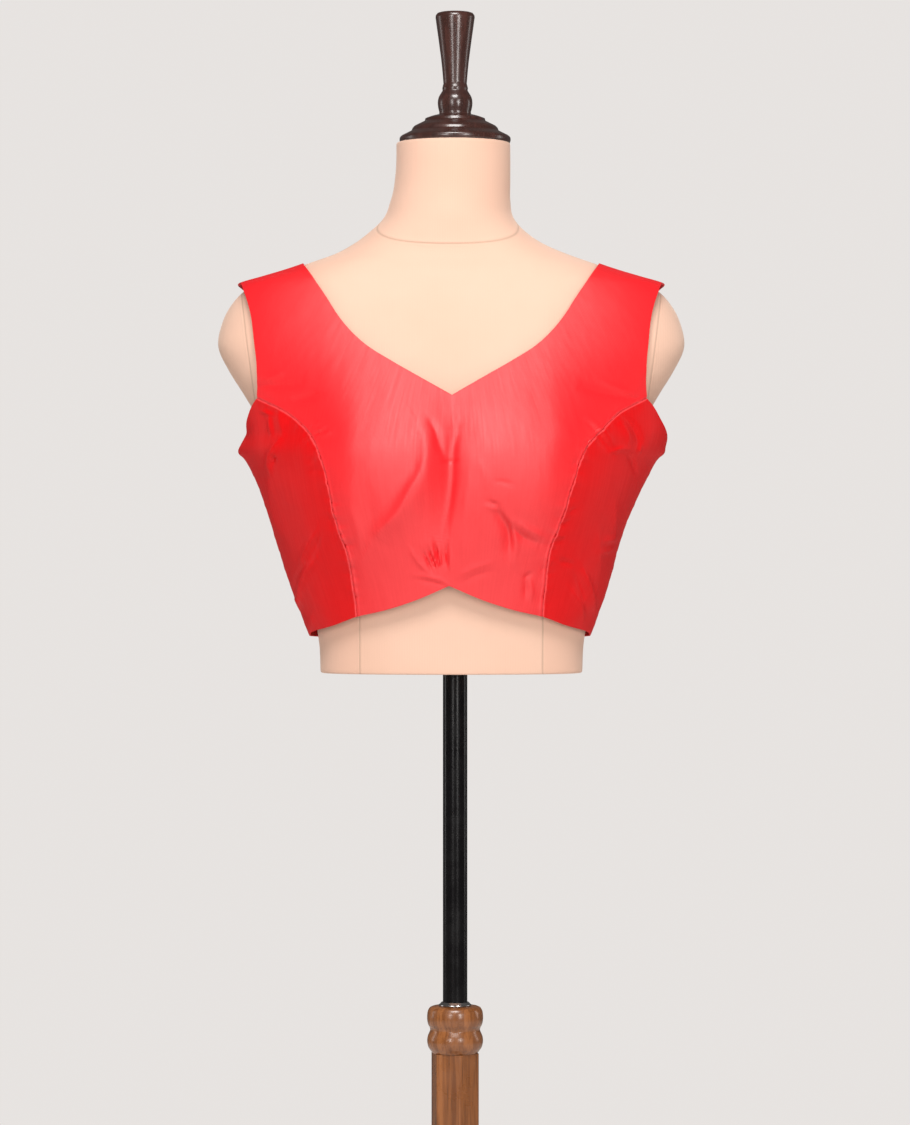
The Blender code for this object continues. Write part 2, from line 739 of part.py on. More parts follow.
def make_ferrule():
    profile = (
        (BORE_RADIUS, STAND_TOP + SEAT),
        (14.6, STAND_TOP + SEAT),
        (14.6, STAND_TOP + 1.4),
        (12.9, STAND_TOP + FERRULE_HEIGHT - 0.6),
        (12.2, STAND_TOP + FERRULE_HEIGHT),
        (BORE_RADIUS, STAND_TOP + FERRULE_HEIGHT),
    )
    turned("pole_ferrule", profile, "bright steel")


def make_collar():
    """The turned top of the column: a rounded disc, a groove and a fuller ring."""
    low = STAND_TOP - COLLAR_HEIGHT
    profile = (
        (BORE_RADIUS, low),
        (20.6, low),
        (21.6, low + 1.6),
        (23.6, low + 4.4),
        (24.8, low + 8.0),
        (25.1, low + 11.2),
        (24.7, low + 14.6),
        (23.2, low + 18.4),
        (22.3, low + 20.4),
        (22.7, low + 22.4),
        (24.2, low + 25.4),
        (25.0, low + 29.0),
        (25.1, low + 34.0),
        (24.4, low + 38.0),
        (22.6, low + 40.8),
        (20.0, STAND_TOP),
        (BORE_RADIUS, STAND_TOP),
    )
    collar = turned("column_collar", profile, "varnished wood")
    cut_round(collar, SCREW_RADIUS + SEAT, (0, 0, SCREW_HEIGHT), (0, 1, 0), 40.0, 0.0)


SCREW_RADIUS = 3.0
SCREW_HEIGHT = STAND_TOP - COLLAR_HEIGHT + 11.2
SCREW_HEAD_START = 33.0


def make_clamp_screw():
    """The plain round-headed screw that holds the pole at its height, at the back."""
    profile = (
        (0.0, POLE_RADIUS + SEAT),
        (SCREW_RADIUS, POLE_RADIUS + SEAT),
        (SCREW_RADIUS, SCREW_HEAD_START),
        (8.5, SCREW_HEAD_START),
        (10.5, SCREW_HEAD_START + 1.2),
        (11.0, SCREW_HEAD_START + 4.0),
        (10.2, SCREW_HEAD_START + 7.0),
        (7.0, SCREW_HEAD_START + 8.4),
        (0.0, SCREW_HEAD_START + 8.8),
    )
    screw = turned("clamp_screw", profile, "black steel")
    screw.rotation_euler = (-math.pi / 2, 0, 0)
    screw.location = (0, 0, SCREW_HEIGHT * MM)


def make_column():
    """The hexagonal wooden column, bored through for the pole."""
    foot = HUB_TOP + SEAT
    top = STAND_TOP - COLLAR_HEIGHT - SEAT
    bm = bmesh.new()
    bmesh.ops.create_cone(
        bm,
        cap_ends=True,
        segments=6,
        radius1=COLUMN_SIDE * MM,
        radius2=COLUMN_SIDE * MM,
        depth=(top - foot) * MM,
    )
    upright = [e for e in bm.edges if abs(e.verts[0].co.z - e.verts[1].co.z) > 10 * MM]
    bmesh.ops.bevel(
        bm,
        geom=upright,
        offset=1.6 * MM,
        offset_type="OFFSET",
        affect="EDGES",
        segments=2,
        profile=0.5,
        material=-1,
    )
    turn = Matrix.Rotation(math.radians(COLUMN_TURN), 3, "Z")
    bmesh.ops.rotate(bm, verts=bm.verts, cent=(0, 0, 0), matrix=turn)
    bmesh.ops.translate(bm, verts=bm.verts, vec=(0, 0, (top + foot) / 2 * MM))
    column = add_object("column", mesh_of(bm, "column"), "varnished wood")
    cut_round(column, BORE_RADIUS, (0, 0, foot), (0, 0, 1), top - foot + 10.0, 10.0)


def make_base():
    """The round foot, flat underneath, turned up to the hub that the column stands on."""
    profile = (
        (0.0, 0.0),
        (BASE_RADIUS - 1.5, 0.0),
        (BASE_RADIUS, 1.5),
        (BASE_RADIUS, 14.0),
        (BASE_RADIUS - 2.5, 19.0),
        (BASE_RADIUS - 8.0, 22.0),
        (BASE_RADIUS - 14.0, 22.6),
        (BASE_RADIUS - 16.0, 25.0),
        (120.0, 27.0),
        (80.0, 30.0),
        (52.0, 35.0),
        (40.0, 41.0),
        (36.5, 46.0),
        (38.0, 49.0),
        (39.0, 53.0),
        (37.5, 58.0),
        (33.5, 61.0),
        (28.0, HUB_TOP),
        (0.0, HUB_TOP),
    )
    turned("base", profile, "varnished wood")


CLOTH = Skin(CLOTH_SECTIONS, CLOTH_BUST)
FORM = Skin(FORM_SECTIONS, FORM_BUST)


def main():
    for obj in list(bpy.data.objects):
        bpy.data.objects.remove(obj)
    make_front()
    make_side_fronts()
    make_backs()
    make_underlap()
    make_form()
    make_neck_knob()
    make_pole()
    make_ferrule()
    make_collar()
    make_clamp_screw()
    make_column()
    make_base()


main()
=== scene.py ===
import math

import bmesh
import bpy
import numpy as np
from mathutils import Matrix, Vector


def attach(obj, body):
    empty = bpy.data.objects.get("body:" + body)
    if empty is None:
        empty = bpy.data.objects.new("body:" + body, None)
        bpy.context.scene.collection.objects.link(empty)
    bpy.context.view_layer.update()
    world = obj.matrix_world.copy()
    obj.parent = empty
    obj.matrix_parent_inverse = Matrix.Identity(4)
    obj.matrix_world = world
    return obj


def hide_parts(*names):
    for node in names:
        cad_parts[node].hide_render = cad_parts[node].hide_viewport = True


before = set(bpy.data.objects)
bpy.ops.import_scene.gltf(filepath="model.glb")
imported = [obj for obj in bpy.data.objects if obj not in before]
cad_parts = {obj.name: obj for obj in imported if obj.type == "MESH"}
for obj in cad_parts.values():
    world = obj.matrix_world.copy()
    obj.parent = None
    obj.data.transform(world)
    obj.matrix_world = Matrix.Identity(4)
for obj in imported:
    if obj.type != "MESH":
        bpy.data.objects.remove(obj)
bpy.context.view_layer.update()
mm = 0.001


# Small helpers for curves


def smoothThrough(known, values, at):
    # cubic curve through the values, its slope at each one taken from both neighbours
    known, values, at = (np.asarray(a, float) for a in (known, values, at))
    slopes = np.gradient(values, known, axis=0)
    i = np.clip(np.searchsorted(known, at) - 1, 0, len(known) - 2)
    step = known[i + 1] - known[i]
    t = np.clip((at - known[i]) / step, 0.0, 1.0)
    if values.ndim > 1:
        t, step = t[..., None], step[..., None]
    rest = 1.0 - t
    return (
        values[i] * (1 + 2 * t) * rest**2
        + slopes[i] * step * t * rest**2
        + values[i + 1] * t**2 * (3 - 2 * t)
        - slopes[i + 1] * step * t**2 * rest
    )


def alongCurve(points):
    steps = np.linalg.norm(np.diff(points, axis=0), axis=1)
    return np.concatenate([[0.0], np.cumsum(steps)])


def spacedCurve(points, count):
    # count + 1 places evenly along the smooth curve through the points
    points = np.asarray(points, float)
    along = alongCurve(points)
    fine = smoothThrough(along, points, np.linspace(0.0, along[-1], 8 * count + 1))
    along = alongCurve(fine)
    places = np.linspace(0.0, along[-1], count + 1)
    return np.stack([np.interp(places, along, fine[:, k]) for k in range(3)], axis=1)


def joined(*curves):
    return np.concatenate([curves[0], *[curve[1:] for curve in curves[1:]]])


def shares(curve):
    along = alongCurve(curve)
    return along / along[-1]


# The form's and the worn cloth's surfaces, from level sections with two soft rises at the bust

bust = {"across": 84.0, "height": 1084.0, "fadesOver": 55.0}

# Points are settled on a surface away from an axis inside it, which spreads into the shoulders
innerAxis = {"top": 1195.0, "spreadsFrom": 1150.0, "spreadsOver": 90.0, "spread": 0.75}

formShape = {
    "bust": {"rise": 29.0, "outer": 50.0, "inner": 62.0, "above": 62.0, "below": 44.0},
    # height, half width, front, back, middle, squareness
    "sections": (
        (904.0, 117.6, -80.0, 70.0, -2.0, 2.3),
        (930.0, 118.8, -83.5, 73.5, -2.0, 2.3),
        (960.0, 124.5, -88.5, 79.5, -1.0, 2.3),
        (1000.0, 137.0, -96.0, 88.0, 0.0, 2.3),
        (1040.0, 149.0, -102.0, 95.0, 0.0, 2.3),
        (1080.0, 160.0, -106.0, 100.0, 1.0, 2.3),
        (1110.0, 167.0, -106.0, 103.0, 2.0, 2.3),
        (1135.0, 176.0, -102.0, 105.0, 3.0, 2.3),
        (1155.0, 187.5, -97.0, 106.0, 4.0, 2.3),
        (1175.0, 200.0, -90.0, 106.0, 5.0, 2.3),
        (1198.0, 210.0, -81.0, 104.0, 6.0, 2.3),
        (1215.0, 207.5, -74.5, 102.0, 7.0, 2.3),
        (1232.0, 200.0, -68.5, 99.0, 8.0, 2.3),
        (1246.0, 188.0, -64.0, 95.0, 8.0, 2.3),
        (1255.0, 175.0, -61.5, 91.0, 8.0, 2.3),
        (1264.0, 151.0, -59.0, 86.0, 8.0, 2.3),
        (1272.0, 129.0, -57.5, 81.0, 7.0, 2.25),
        (1280.0, 106.0, -56.0, 76.0, 6.0, 2.2),
        (1290.0, 85.0, -55.5, 70.0, 4.0, 2.1),
        (1300.0, 70.8, -55.5, 64.0, 2.0, 2.05),
        (1312.0, 59.0, -55.5, 59.0, 1.0, 2.0),
        (1328.0, 54.0, -53.5, 55.0, 0.5, 2.0),
        (1350.0, 51.8, -51.8, 52.0, 0.0, 2.0),
        (1366.0, 51.3, -51.3, 51.3, 0.0, 2.0),
        (1380.6, 51.2, -51.2, 51.2, 0.0, 2.0),
    ),
}

clothShape = {
    "bust": {"rise": 31.0, "outer": 60.0, "inner": 150.0, "above": 76.0, "below": 84.0},
    # height, half width, front, back, middle, squareness
    "sections": (
        (900.0, 118.0, -85.0, 75.0, -2.0, 2.2),
        (925.0, 121.0, -89.5, 79.5, -2.0, 2.2),
        (942.0, 128.0, -92.5, 83.0, -1.5, 2.2),
        (956.0, 133.2, -95.5, 86.0, -1.0, 2.2),
        (983.0, 143.0, -100.5, 92.0, 0.0, 2.15),
        (1010.0, 151.0, -105.0, 97.0, 0.0, 2.15),
        (1037.0, 159.3, -108.5, 102.0, 0.0, 2.15),
        (1064.0, 169.6, -111.0, 106.0, 0.5, 2.15),
        (1091.0, 182.5, -111.5, 108.5, 1.5, 2.15),
        (1104.0, 190.5, -111.0, 109.5, 2.0, 2.18),
        (1118.0, 193.0, -109.5, 110.5, 2.5, 2.2),
        (1135.0, 194.5, -106.5, 111.0, 3.0, 2.25),
        (1149.0, 197.5, -102.5, 111.0, 3.7, 2.3),
        (1160.0, 201.0, -99.0, 111.0, 4.2, 2.3),
        (1175.0, 207.5, -94.0, 110.5, 5.0, 2.32),
        (1198.0, 215.5, -85.0, 108.5, 6.0, 2.35),
        (1222.0, 213.5, -76.0, 105.0, 7.5, 2.35),
        (1236.0, 209.0, -71.5, 101.5, 8.0, 2.35),
        (1248.0, 200.5, -67.5, 97.5, 8.0, 2.35),
        (1254.8, 190.5, -65.5, 94.5, 8.0, 2.35),
        (1260.3, 171.5, -63.5, 91.0, 8.0, 2.35),
        (1266.2, 151.5, -61.8, 87.5, 8.0, 2.35),
        (1273.2, 131.0, -60.2, 83.3, 7.5, 2.3),
        (1283.2, 108.0, -58.8, 79.0, 6.0, 2.2),
        (1298.0, 80.0, -58.0, 69.0, 4.0, 2.1),
    ),
}


def bustRise(x, z, rise, outer, inner, above, below):
    out = np.abs(x) - bust["across"]
    up = z - bust["height"]
    across = np.exp(-((out / np.where(out > 0, outer, inner)) ** 2))
    return rise * across * np.exp(-((up / np.where(up > 0, above, below)) ** 2))


class Skin:
    def __init__(self, shape):
        self.rows = np.array(shape["sections"])
        self.bust = shape["bust"]

    def section(self, height):
        height = np.clip(height, self.rows[0, 0], self.rows[-1, 0])
        values = smoothThrough(self.rows[:, 0], self.rows[:, 1:], height)
        return np.moveaxis(values, -1, 0)

    def outside(self, points):
        # below 0 inside the surface, above 0 outside
        x, y, z = np.moveaxis(points, -1, 0)
        halfWidth, front, back, middle, squareness = self.section(z)
        toFront = np.clip((middle - y) / bust["fadesOver"], 0.0, 1.0)
        y = y + toFront * bustRise(x, z, **self.bust)
        depth = np.where(y < middle, middle - front, back - middle)
        over = np.clip(z - self.rows[-1, 0], 0.0, None)
        wide = np.abs(x / halfWidth) ** squareness
        return wide + np.abs((y - middle) / depth) ** squareness - 1.0 + over

    def cast(self, starts, ways, reach=320.0, halvings=30):
        # where lines that start inside come out
        starts, ways = np.broadcast_arrays(np.asarray(starts, float), np.asarray(ways, float))
        near = np.zeros(starts.shape[:-1])
        far = near + reach
        for _ in range(halvings):
            middle = (near + far) / 2
            out = self.outside(starts + ways * middle[..., None]) > 0
            far = np.where(out, middle, far)
            near = np.where(out, near, middle)
        return starts + ways * near[..., None]

    def front(self, across, height):
        return self.straight(across, height, -1.0)

    def back(self, across, height):
        return self.straight(across, height, 1.0)

    def straight(self, across, height, way):
        across, height = np.broadcast_arrays(np.asarray(across, float), np.asarray(height, float))
        middle = self.section(height)[3]
        return self.cast(np.stack([across, middle, height], axis=-1), np.array([0.0, way, 0.0]))

    def around(self, degrees, height):
        # at this height, so many degrees round from the front
        degrees, height = np.broadcast_arrays(np.asarray(degrees, float), np.asarray(height, float))
        turn = np.radians(degrees)
        way = np.stack([np.sin(turn), -np.cos(turn), 0 * turn], axis=-1)
        return self.cast(np.stack([0 * height, self.section(height)[3], height], axis=-1), way)

    def top(self, across, back):
        across, back = np.broadcast_arrays(np.asarray(across, float), np.asarray(back, float))
        low = np.full(across.shape, innerAxis["top"])
        return self.cast(np.stack([across, back, low], axis=-1), np.array([0.0, 0.0, 1.0]))

    def settle(self, points):
        # moves points near the surface onto it, away from an axis inside it
        x, y, z = np.moveaxis(points, -1, 0)
        share = np.clip((z - innerAxis["spreadsFrom"]) / innerAxis["spreadsOver"], 0.0, 1.0)
        share = innerAxis["spread"] * share * share * (3 - 2 * share)
        level = np.minimum(z, innerAxis["top"])
        axis = np.stack([x * share, self.section(z)[3], level], axis=-1)
        way = points - axis
        way /= np.linalg.norm(way, axis=-1, keepdims=True)
        return self.cast(axis, way)

    def normals(self, points, step=0.4):
        slope = np.zeros(points.shape)
        for axis in range(3):
            move = np.zeros(3)
            move[axis] = step
            slope[..., axis] = self.outside(points + move) - self.outside(points - move)
        return slope / np.linalg.norm(slope, axis=-1, keepdims=True)


cloth = Skin(clothShape)
form = Skin(formShape)

# The blouse is worn a little to the left, seen from the front, and the form leans the same way
swayTable = (
    # height, shift of the cloth, shift of the form
    (904.0, -4.6, -3.3),
    (942.0, -4.7, -3.3),
    (970.0, -5.0, -3.3),
    (996.0, -5.6, -3.3),
    (1023.0, -6.2, -3.2),
    (1050.0, -5.2, -3.0),
    (1077.0, -3.8, -2.8),
    (1104.0, -2.9, -2.8),
    (1116.0, -0.8, -2.8),
    (1132.0, -1.4, -2.9),
    (1150.0, -2.7, -3.2),
    (1185.0, -3.2, -3.4),
    (1215.0, -3.5, -3.5),
    (1240.0, -3.5, -3.5),
    (1274.0, -3.5, -3.5),
    (1279.0, -3.5, -3.5),
    (1289.0, -3.5, -5.7),
    (1299.0, -3.5, -6.6),
    (1312.0, -3.5, -5.8),
    (1325.0, -3.5, -4.6),
    (1340.0, -3.5, -2.8),
    (1354.0, -3.5, -1.9),
    (1400.0, -3.5, -1.9),
)


def sway(heights, column):
    # column 1 is the cloth's shift and column 2 the form's
    table = np.array(swayTable)
    return smoothThrough(table[:, 0], table[:, column], heights)


# Shared shader groups


def newGroup(name, inputs, outputs):
    group = bpy.data.node_groups.new(name, "ShaderNodeTree")
    for label, kind, value in inputs:
        made = group.interface.new_socket(name=label, in_out="INPUT", socket_type=kind)
        if value is not None:
            made.default_value = value
    for label, kind in outputs:
        group.interface.new_socket(name=label, in_out="OUTPUT", socket_type=kind)
    return group, group.nodes.new("NodeGroupInput"), group.nodes.new("NodeGroupOutput")


def addNode(tree, kind, place=(0, 0), settings=None, values=None):
    node = tree.nodes.new(kind)
    node.location = place
    for name, value in (settings or {}).items():
        setattr(node, name, value)
    for name, value in (values or {}).items():
        node.inputs[name].default_value = value
    return node


def mathNode(tree, operation, first, second=None, third=None, clamp=False):
    node = tree.nodes.new("ShaderNodeMath")
    node.operation = operation
    node.use_clamp = clamp
    for k, value in enumerate((first, second, third)):
        if value is None:
            continue
        if isinstance(value, (int, float)):
            node.inputs[k].default_value = value
        else:
            tree.links.new(value, node.inputs[k])
    return node.outputs[0]


def mixColour(tree, factor, first, second, blend="MIX"):
    node = tree.nodes.new("ShaderNodeMix")
    node.data_type = "RGBA"
    node.blend_type = blend
    for k, value in ((0, factor), (6, first), (7, second)):
        if isinstance(value, (int, float)):
            node.inputs[k].default_value = value
        elif isinstance(value, tuple):
            node.inputs[k].default_value = (*value, 1.0)
        else:
            tree.links.new(value, node.inputs[k])
    return node.outputs[2]


def spanNode(tree, value, low, high, toLow=0.0, toHigh=1.0):
    node = tree.nodes.new("ShaderNodeMapRange")
    for k, number in ((1, low), (2, high), (3, toLow), (4, toHigh)):
        node.inputs[k].default_value = number
    tree.links.new(value, node.inputs[0])
    return node.outputs[0]


def noiseNode(tree, vector, scale, detail=2.0, roughness=0.5):
    node = tree.nodes.new("ShaderNodeTexNoise")
    node.inputs["Scale"].default_value = scale
    node.inputs["Detail"].default_value = detail
    node.inputs["Roughness"].default_value = roughness
    tree.links.new(vector, node.inputs["Vector"])
    return node.outputs["Fac"]


def scaledVector(tree, vector, scale):
    node = addNode(tree, "ShaderNodeMapping", values={"Scale": scale})
    tree.links.new(vector, node.inputs["Vector"])
    return node.outputs[0]


def grownVector(tree, vector, times):
    node = addNode(tree, "ShaderNodeVectorMath", settings={"operation": "SCALE"})
    tree.links.new(vector, node.inputs[0])
    tree.links.new(times, node.inputs["Scale"])
    return node.outputs[0]


# How fine each pattern is: one number, or one for each axis where it is drawn out along the piece
patternScale = {
    "slubs": (620.0, 22.0, 1.0),
    "patches": 14.0,
    "crumples": (50.0, 24.0, 1.0),
    "woodFigure": (95.0, 95.0, 4.5),
    "woodRings": 34.0,
    "woodPores": (900.0, 900.0, 28.0),
    "smudges": 45.0,
    "specks": 900.0,
}


# Structure of a cloth from its own coordinates in metres: threads, slubs, soft patches and faint crumples
def makeWeaveGroup():
    group, start, end = newGroup(
        "threadWeave",
        (
            ("Vector", "NodeSocketVector", None),
            ("Threads per metre", "NodeSocketFloat", 2200.0),
            ("Long float", "NodeSocketFloat", 0.25),
        ),
        (
            ("Height", "NodeSocketFloat"),
            ("Slubs", "NodeSocketFloat"),
            ("Patches", "NodeSocketFloat"),
            ("Crumple", "NodeSocketFloat"),
        ),
    )
    split = group.nodes.new("ShaderNodeSeparateXYZ")
    group.links.new(start.outputs["Vector"], split.inputs[0])
    turn = mathNode(group, "MULTIPLY", start.outputs["Threads per metre"], math.pi)
    across = mathNode(group, "SINE", mathNode(group, "MULTIPLY", split.outputs[0], turn))
    slow = mathNode(group, "MULTIPLY", turn, start.outputs["Long float"])
    lengthways = mathNode(group, "SINE", mathNode(group, "MULTIPLY", split.outputs[1], slow))
    lengthways = mathNode(group, "MULTIPLY", lengthways, 0.2)
    height = mathNode(group, "MULTIPLY_ADD", across, 0.5, lengthways)
    group.links.new(height, end.inputs["Height"])
    slubs = scaledVector(group, start.outputs["Vector"], patternScale["slubs"])
    slubs = noiseNode(group, slubs, 1.0, 3.0)
    group.links.new(spanNode(group, slubs, 0.3, 0.7), end.inputs["Slubs"])
    patches = noiseNode(group, start.outputs["Vector"], patternScale["patches"], 2.0)
    group.links.new(spanNode(group, patches, 0.3, 0.7), end.inputs["Patches"])
    crumple = scaledVector(group, start.outputs["Vector"], patternScale["crumples"])
    group.links.new(noiseNode(group, crumple, 1.0, 2.0), end.inputs["Crumple"])
    return group


# Wood grain along Z, as a colour mask and a height
def makeGrainGroup():
    group, start, end = newGroup(
        "woodGrain",
        (("Vector", "NodeSocketVector", None), ("Fineness", "NodeSocketFloat", 1.0)),
        (("Figure", "NodeSocketFloat"), ("Pores", "NodeSocketFloat")),
    )
    grown = grownVector(group, start.outputs["Vector"], start.outputs["Fineness"])
    drawn = scaledVector(group, grown, patternScale["woodFigure"])
    figure = noiseNode(group, drawn, 1.0, 4.0, 0.6)
    rings = mathNode(group, "SINE", mathNode(group, "MULTIPLY", figure, patternScale["woodRings"]))
    figure = mathNode(group, "MULTIPLY_ADD", rings, 0.28, spanNode(group, figure, 0.3, 0.7))
    group.links.new(spanNode(group, figure, 0.0, 1.0), end.inputs["Figure"])
    pores = scaledVector(group, grown, patternScale["woodPores"])
    pores = noiseNode(group, pores, 1.0, 2.0)
    group.links.new(spanNode(group, pores, 0.58, 0.72), end.inputs["Pores"])
    return group


# Faint handling marks and dust in a varnish or paint
def makeWearGroup():
    group, start, end = newGroup(
        "softWear",
        (("Vector", "NodeSocketVector", None), ("Scale", "NodeSocketFloat", 1.0)),
        (("Smudges", "NodeSocketFloat"), ("Specks", "NodeSocketFloat")),
    )
    grown = grownVector(group, start.outputs["Vector"], start.outputs["Scale"])
    smudges = noiseNode(group, grown, patternScale["smudges"], 4.0, 0.6)
    group.links.new(spanNode(group, smudges, 0.4, 0.68), end.inputs["Smudges"])
    specks = noiseNode(group, grown, patternScale["specks"], 1.0)
    group.links.new(spanNode(group, specks, 0.68, 0.76), end.inputs["Specks"])
    return group


sewnLine = {"edgeAt": 2.6, "edge": 0.35, "edgeFall": -0.6}  # the soft edges beside a seam, in its widths


# A sewn line, from how far a point is from it: a mask for its colour and a height for its groove
def makeSeamGroup():
    group, start, end = newGroup(
        "sewnLine",
        (("Distance", "NodeSocketFloat", 0.0), ("Width", "NodeSocketFloat", 0.0008)),
        (("Line", "NodeSocketFloat"), ("Height", "NodeSocketFloat")),
    )
    share = mathNode(group, "DIVIDE", start.outputs["Distance"], start.outputs["Width"])
    squared = mathNode(group, "MULTIPLY", share, share)
    line = mathNode(group, "POWER", math.e, mathNode(group, "MULTIPLY", squared, -1.0))
    group.links.new(line, end.inputs["Line"])
    beside = mathNode(group, "SUBTRACT", mathNode(group, "ABSOLUTE", share), sewnLine["edgeAt"])
    beside = mathNode(group, "MULTIPLY", beside, beside)
    edge = mathNode(group, "POWER", math.e, mathNode(group, "MULTIPLY", beside, sewnLine["edgeFall"]))
    groove = mathNode(group, "MULTIPLY", line, -1.0)
    height = mathNode(group, "MULTIPLY_ADD", edge, sewnLine["edge"], groove)
    group.links.new(height, end.inputs["Height"])
    return group


groups = {
    "weave": makeWeaveGroup(),
    "grain": makeGrainGroup(),
    "wear": makeWearGroup(),
    "seam": makeSeamGroup(),
}


def newMaterial(name, values):
    made = bpy.data.materials.new(name)
    made.use_nodes = True
    shader = made.node_tree.nodes["Principled BSDF"]
    for label, value in values.items():
        shader.inputs[label].default_value = value
    return made, made.node_tree, shader


def objectPlaces(tree):
    return addNode(tree, "ShaderNodeTexCoord", (-1400, 0)).outputs["Object"]


def placeGroup(tree, group, vector, values=None):
    node = addNode(tree, "ShaderNodeGroup", (-700, 0), {"node_tree": groups[group]}, values)
    tree.links.new(vector, node.inputs["Vector"])
    return node


def placeSeam(tree, distance, width):
    # the mask and the height of a sewn line
    node = addNode(tree, "ShaderNodeGroup", (-700, 400), {"node_tree": groups["seam"]}, {"Width": width})
    tree.links.new(distance, node.inputs["Distance"])
    return node.outputs


def roughnessFrom(tree, shader, mask, low, high):
    tree.links.new(spanNode(tree, mask, 0.0, 1.0, low, high), shader.inputs["Roughness"])


def bumpInto(tree, shader, height, distance, strength=1.0):
    values = {"Distance": distance, "Strength": strength}
    bump = addNode(tree, "ShaderNodeBump", (-250, -300), values=values)
    tree.links.new(height, bump.inputs["Height"])
    tree.links.new(bump.outputs[0], shader.inputs["Normal"])


satin = {
    "colour": (0.84, 0.010, 0.017),
    "deep": (0.74, 0.006, 0.011),
    "shine": 0.88,
    # the other pieces' satin is a darker copy of the front's, painted shade for pieces turned away from the
    # light, and it has less shine
    "shadedSideColour": (0.72, 0.0025, 0.0045),
    "shadedSideDeep": (0.60, 0.0010, 0.0022),
    "sideShine": 0.32,
    "roughness": 0.55,
    "brushed": 0.62,  # how much narrower its gloss is across the body than up it
    "brushedTurn": 0.25,  # a quarter of a turn: the gloss is broad up the body
    # the rolled edge beside each seam gets a painted highlight, and the seam's groove gets painted shade
    "rollAt": 0.0009,  # metres from a seam to the middle of its rolled edge
    "rollHighlightWidth": 0.0006,
    "rollHighlightShows": 0.6,
    "rollHighlight": (0.90, 0.10, 0.11),
    "grooveShadeWidth": 0.0005,
    "grooveShadeShows": 0.3,
    "grooveShade": (0.34, 0.002, 0.004),
    "sheen": 0.02,
    "sheenRoughness": 0.4,
    "sheenTint": (1.0, 0.42, 0.40, 1.0),
    "threads": 2200.0,
    "slubTone": 0.30,
    "patchTone": 0.35,
    "slubHeight": 0.6,  # how high the slubs and the faint crumples stand beside the threads
    "crumple": 30.0,
}


# Red satin on the piece's own map: deeper in the slubs, with a soft sheen along the threads, painted shade
# in each seam and a painted highlight beside it
def makeSatin(name, colour, deep, shine, highlightShows):
    made, tree, shader = newMaterial(
        name,
        {
            "Sheen Weight": satin["sheen"],
            "Sheen Roughness": satin["sheenRoughness"],
            "Sheen Tint": satin["sheenTint"],
            "Specular IOR Level": shine,
            "Anisotropic": satin["brushed"],
            "Anisotropic Rotation": satin["brushedTurn"],
        },
    )
    alongThreads = {"direction_type": "UV_MAP", "uv_map": "threads"}
    threadWay = addNode(tree, "ShaderNodeTangent", (-400, -500), alongThreads)
    tree.links.new(threadWay.outputs[0], shader.inputs["Tangent"])
    places = addNode(tree, "ShaderNodeUVMap", (-1000, 0), {"uv_map": "threads"})
    weave = placeGroup(tree, "weave", places.outputs[0], {"Threads per metre": satin["threads"]})
    slubs = weave.outputs["Slubs"]
    tone = mathNode(tree, "MULTIPLY", weave.outputs["Patches"], satin["patchTone"])
    tone = mathNode(tree, "MULTIPLY_ADD", slubs, satin["slubTone"], tone)
    ground = mixColour(tree, tone, colour, deep)
    # painted shade darkens the seam's groove, and a painted highlight lies on the rolled edge beside it
    seam = addNode(tree, "ShaderNodeAttribute", (-1000, 400), {"attribute_name": "seamDistance"})
    beside = mathNode(tree, "SUBTRACT", seam.outputs["Fac"], satin["rollAt"])
    rollHighlightLine = placeSeam(tree, beside, satin["rollHighlightWidth"])
    lit = mathNode(tree, "MULTIPLY", rollHighlightLine["Line"], highlightShows)
    ground = mixColour(tree, lit, ground, satin["rollHighlight"])
    grooveShade = placeSeam(tree, seam.outputs["Fac"], satin["grooveShadeWidth"])
    dark = mathNode(tree, "MULTIPLY", grooveShade["Line"], satin["grooveShadeShows"])
    ground = mixColour(tree, dark, ground, satin["grooveShade"])
    tree.links.new(ground, shader.inputs["Base Color"])
    roughnessFrom(tree, shader, slubs, satin["roughness"] - 0.04, satin["roughness"] + 0.05)
    height = mathNode(tree, "MULTIPLY_ADD", slubs, satin["slubHeight"], weave.outputs["Height"])
    height = mathNode(tree, "MULTIPLY_ADD", weave.outputs["Crumple"], satin["crumple"], height)
    bumpInto(tree, shader, height, 0.00005, 0.5)
    return made


print("materials: shared groups made")


# The blouse: its cut, its pieces' edges and the folds of the worn cloth

blouse = {
    "wall": 1.4,
    "edgeRound": 0.5,
    "seamGap": 0.3,  # between the opening's strip and the backs
    "sideHem": 937.0,
    "backHem": 932.0,
    "notchHeight": 982.5,
    "seamFoot": (81.7, 955.2),  # the princess seam on the hem: across, height
    "seamHead": (173.0, 1148.8),  # and on the armhole
    "underarm": 1104.0,
    "neckPoint": 1149.7,
    "backNeck": 1192.0,
    "strapInner": 133.5,
    "strapOuter": 192.8,
    "shoulderSeamBack": 13.0,
    "armholeTurn": (107.0, 1143.0),  # degrees from the front, height
    "backRibFoot": 117.0,
    "rowsLow": 118,
    "rowsHigh": 56,
    "strapColumns": 30,
    "neckColumns": 88,
    "sideColumns": 100,
    "underarmColumns": 36,
    "threadRound": 0.135,  # metres of cloth to one radian round the body
    "edgeReach": 2.5,  # how close to the outer edges their own shapes stay
    "farFromSeam": 30.0,  # the distance that a point gets where no seam is near
}

otherSide = np.array([-1.0, 1.0, 1.0])


def hemFront():
    places = ((0.0, blouse["notchHeight"]), (28.5, 970.2), (56.0, 961.2), blouse["seamFoot"])
    return cloth.front(*np.transpose(places))


def princessSeam():
    places = (
        blouse["seamFoot"],
        (82.6, 968.0),
        (84.6, 984.0),
        (88.8, 1012.0),
        (94.3, 1027.0),
        (100.6, 1044.4),
        (105.4, 1064.4),
        (110.6, 1083.6),
        (117.4, 1102.0),
        (130.4, 1120.0),
        (144.4, 1133.2),
        blouse["seamHead"],
    )
    return cloth.front(*np.transpose(places))


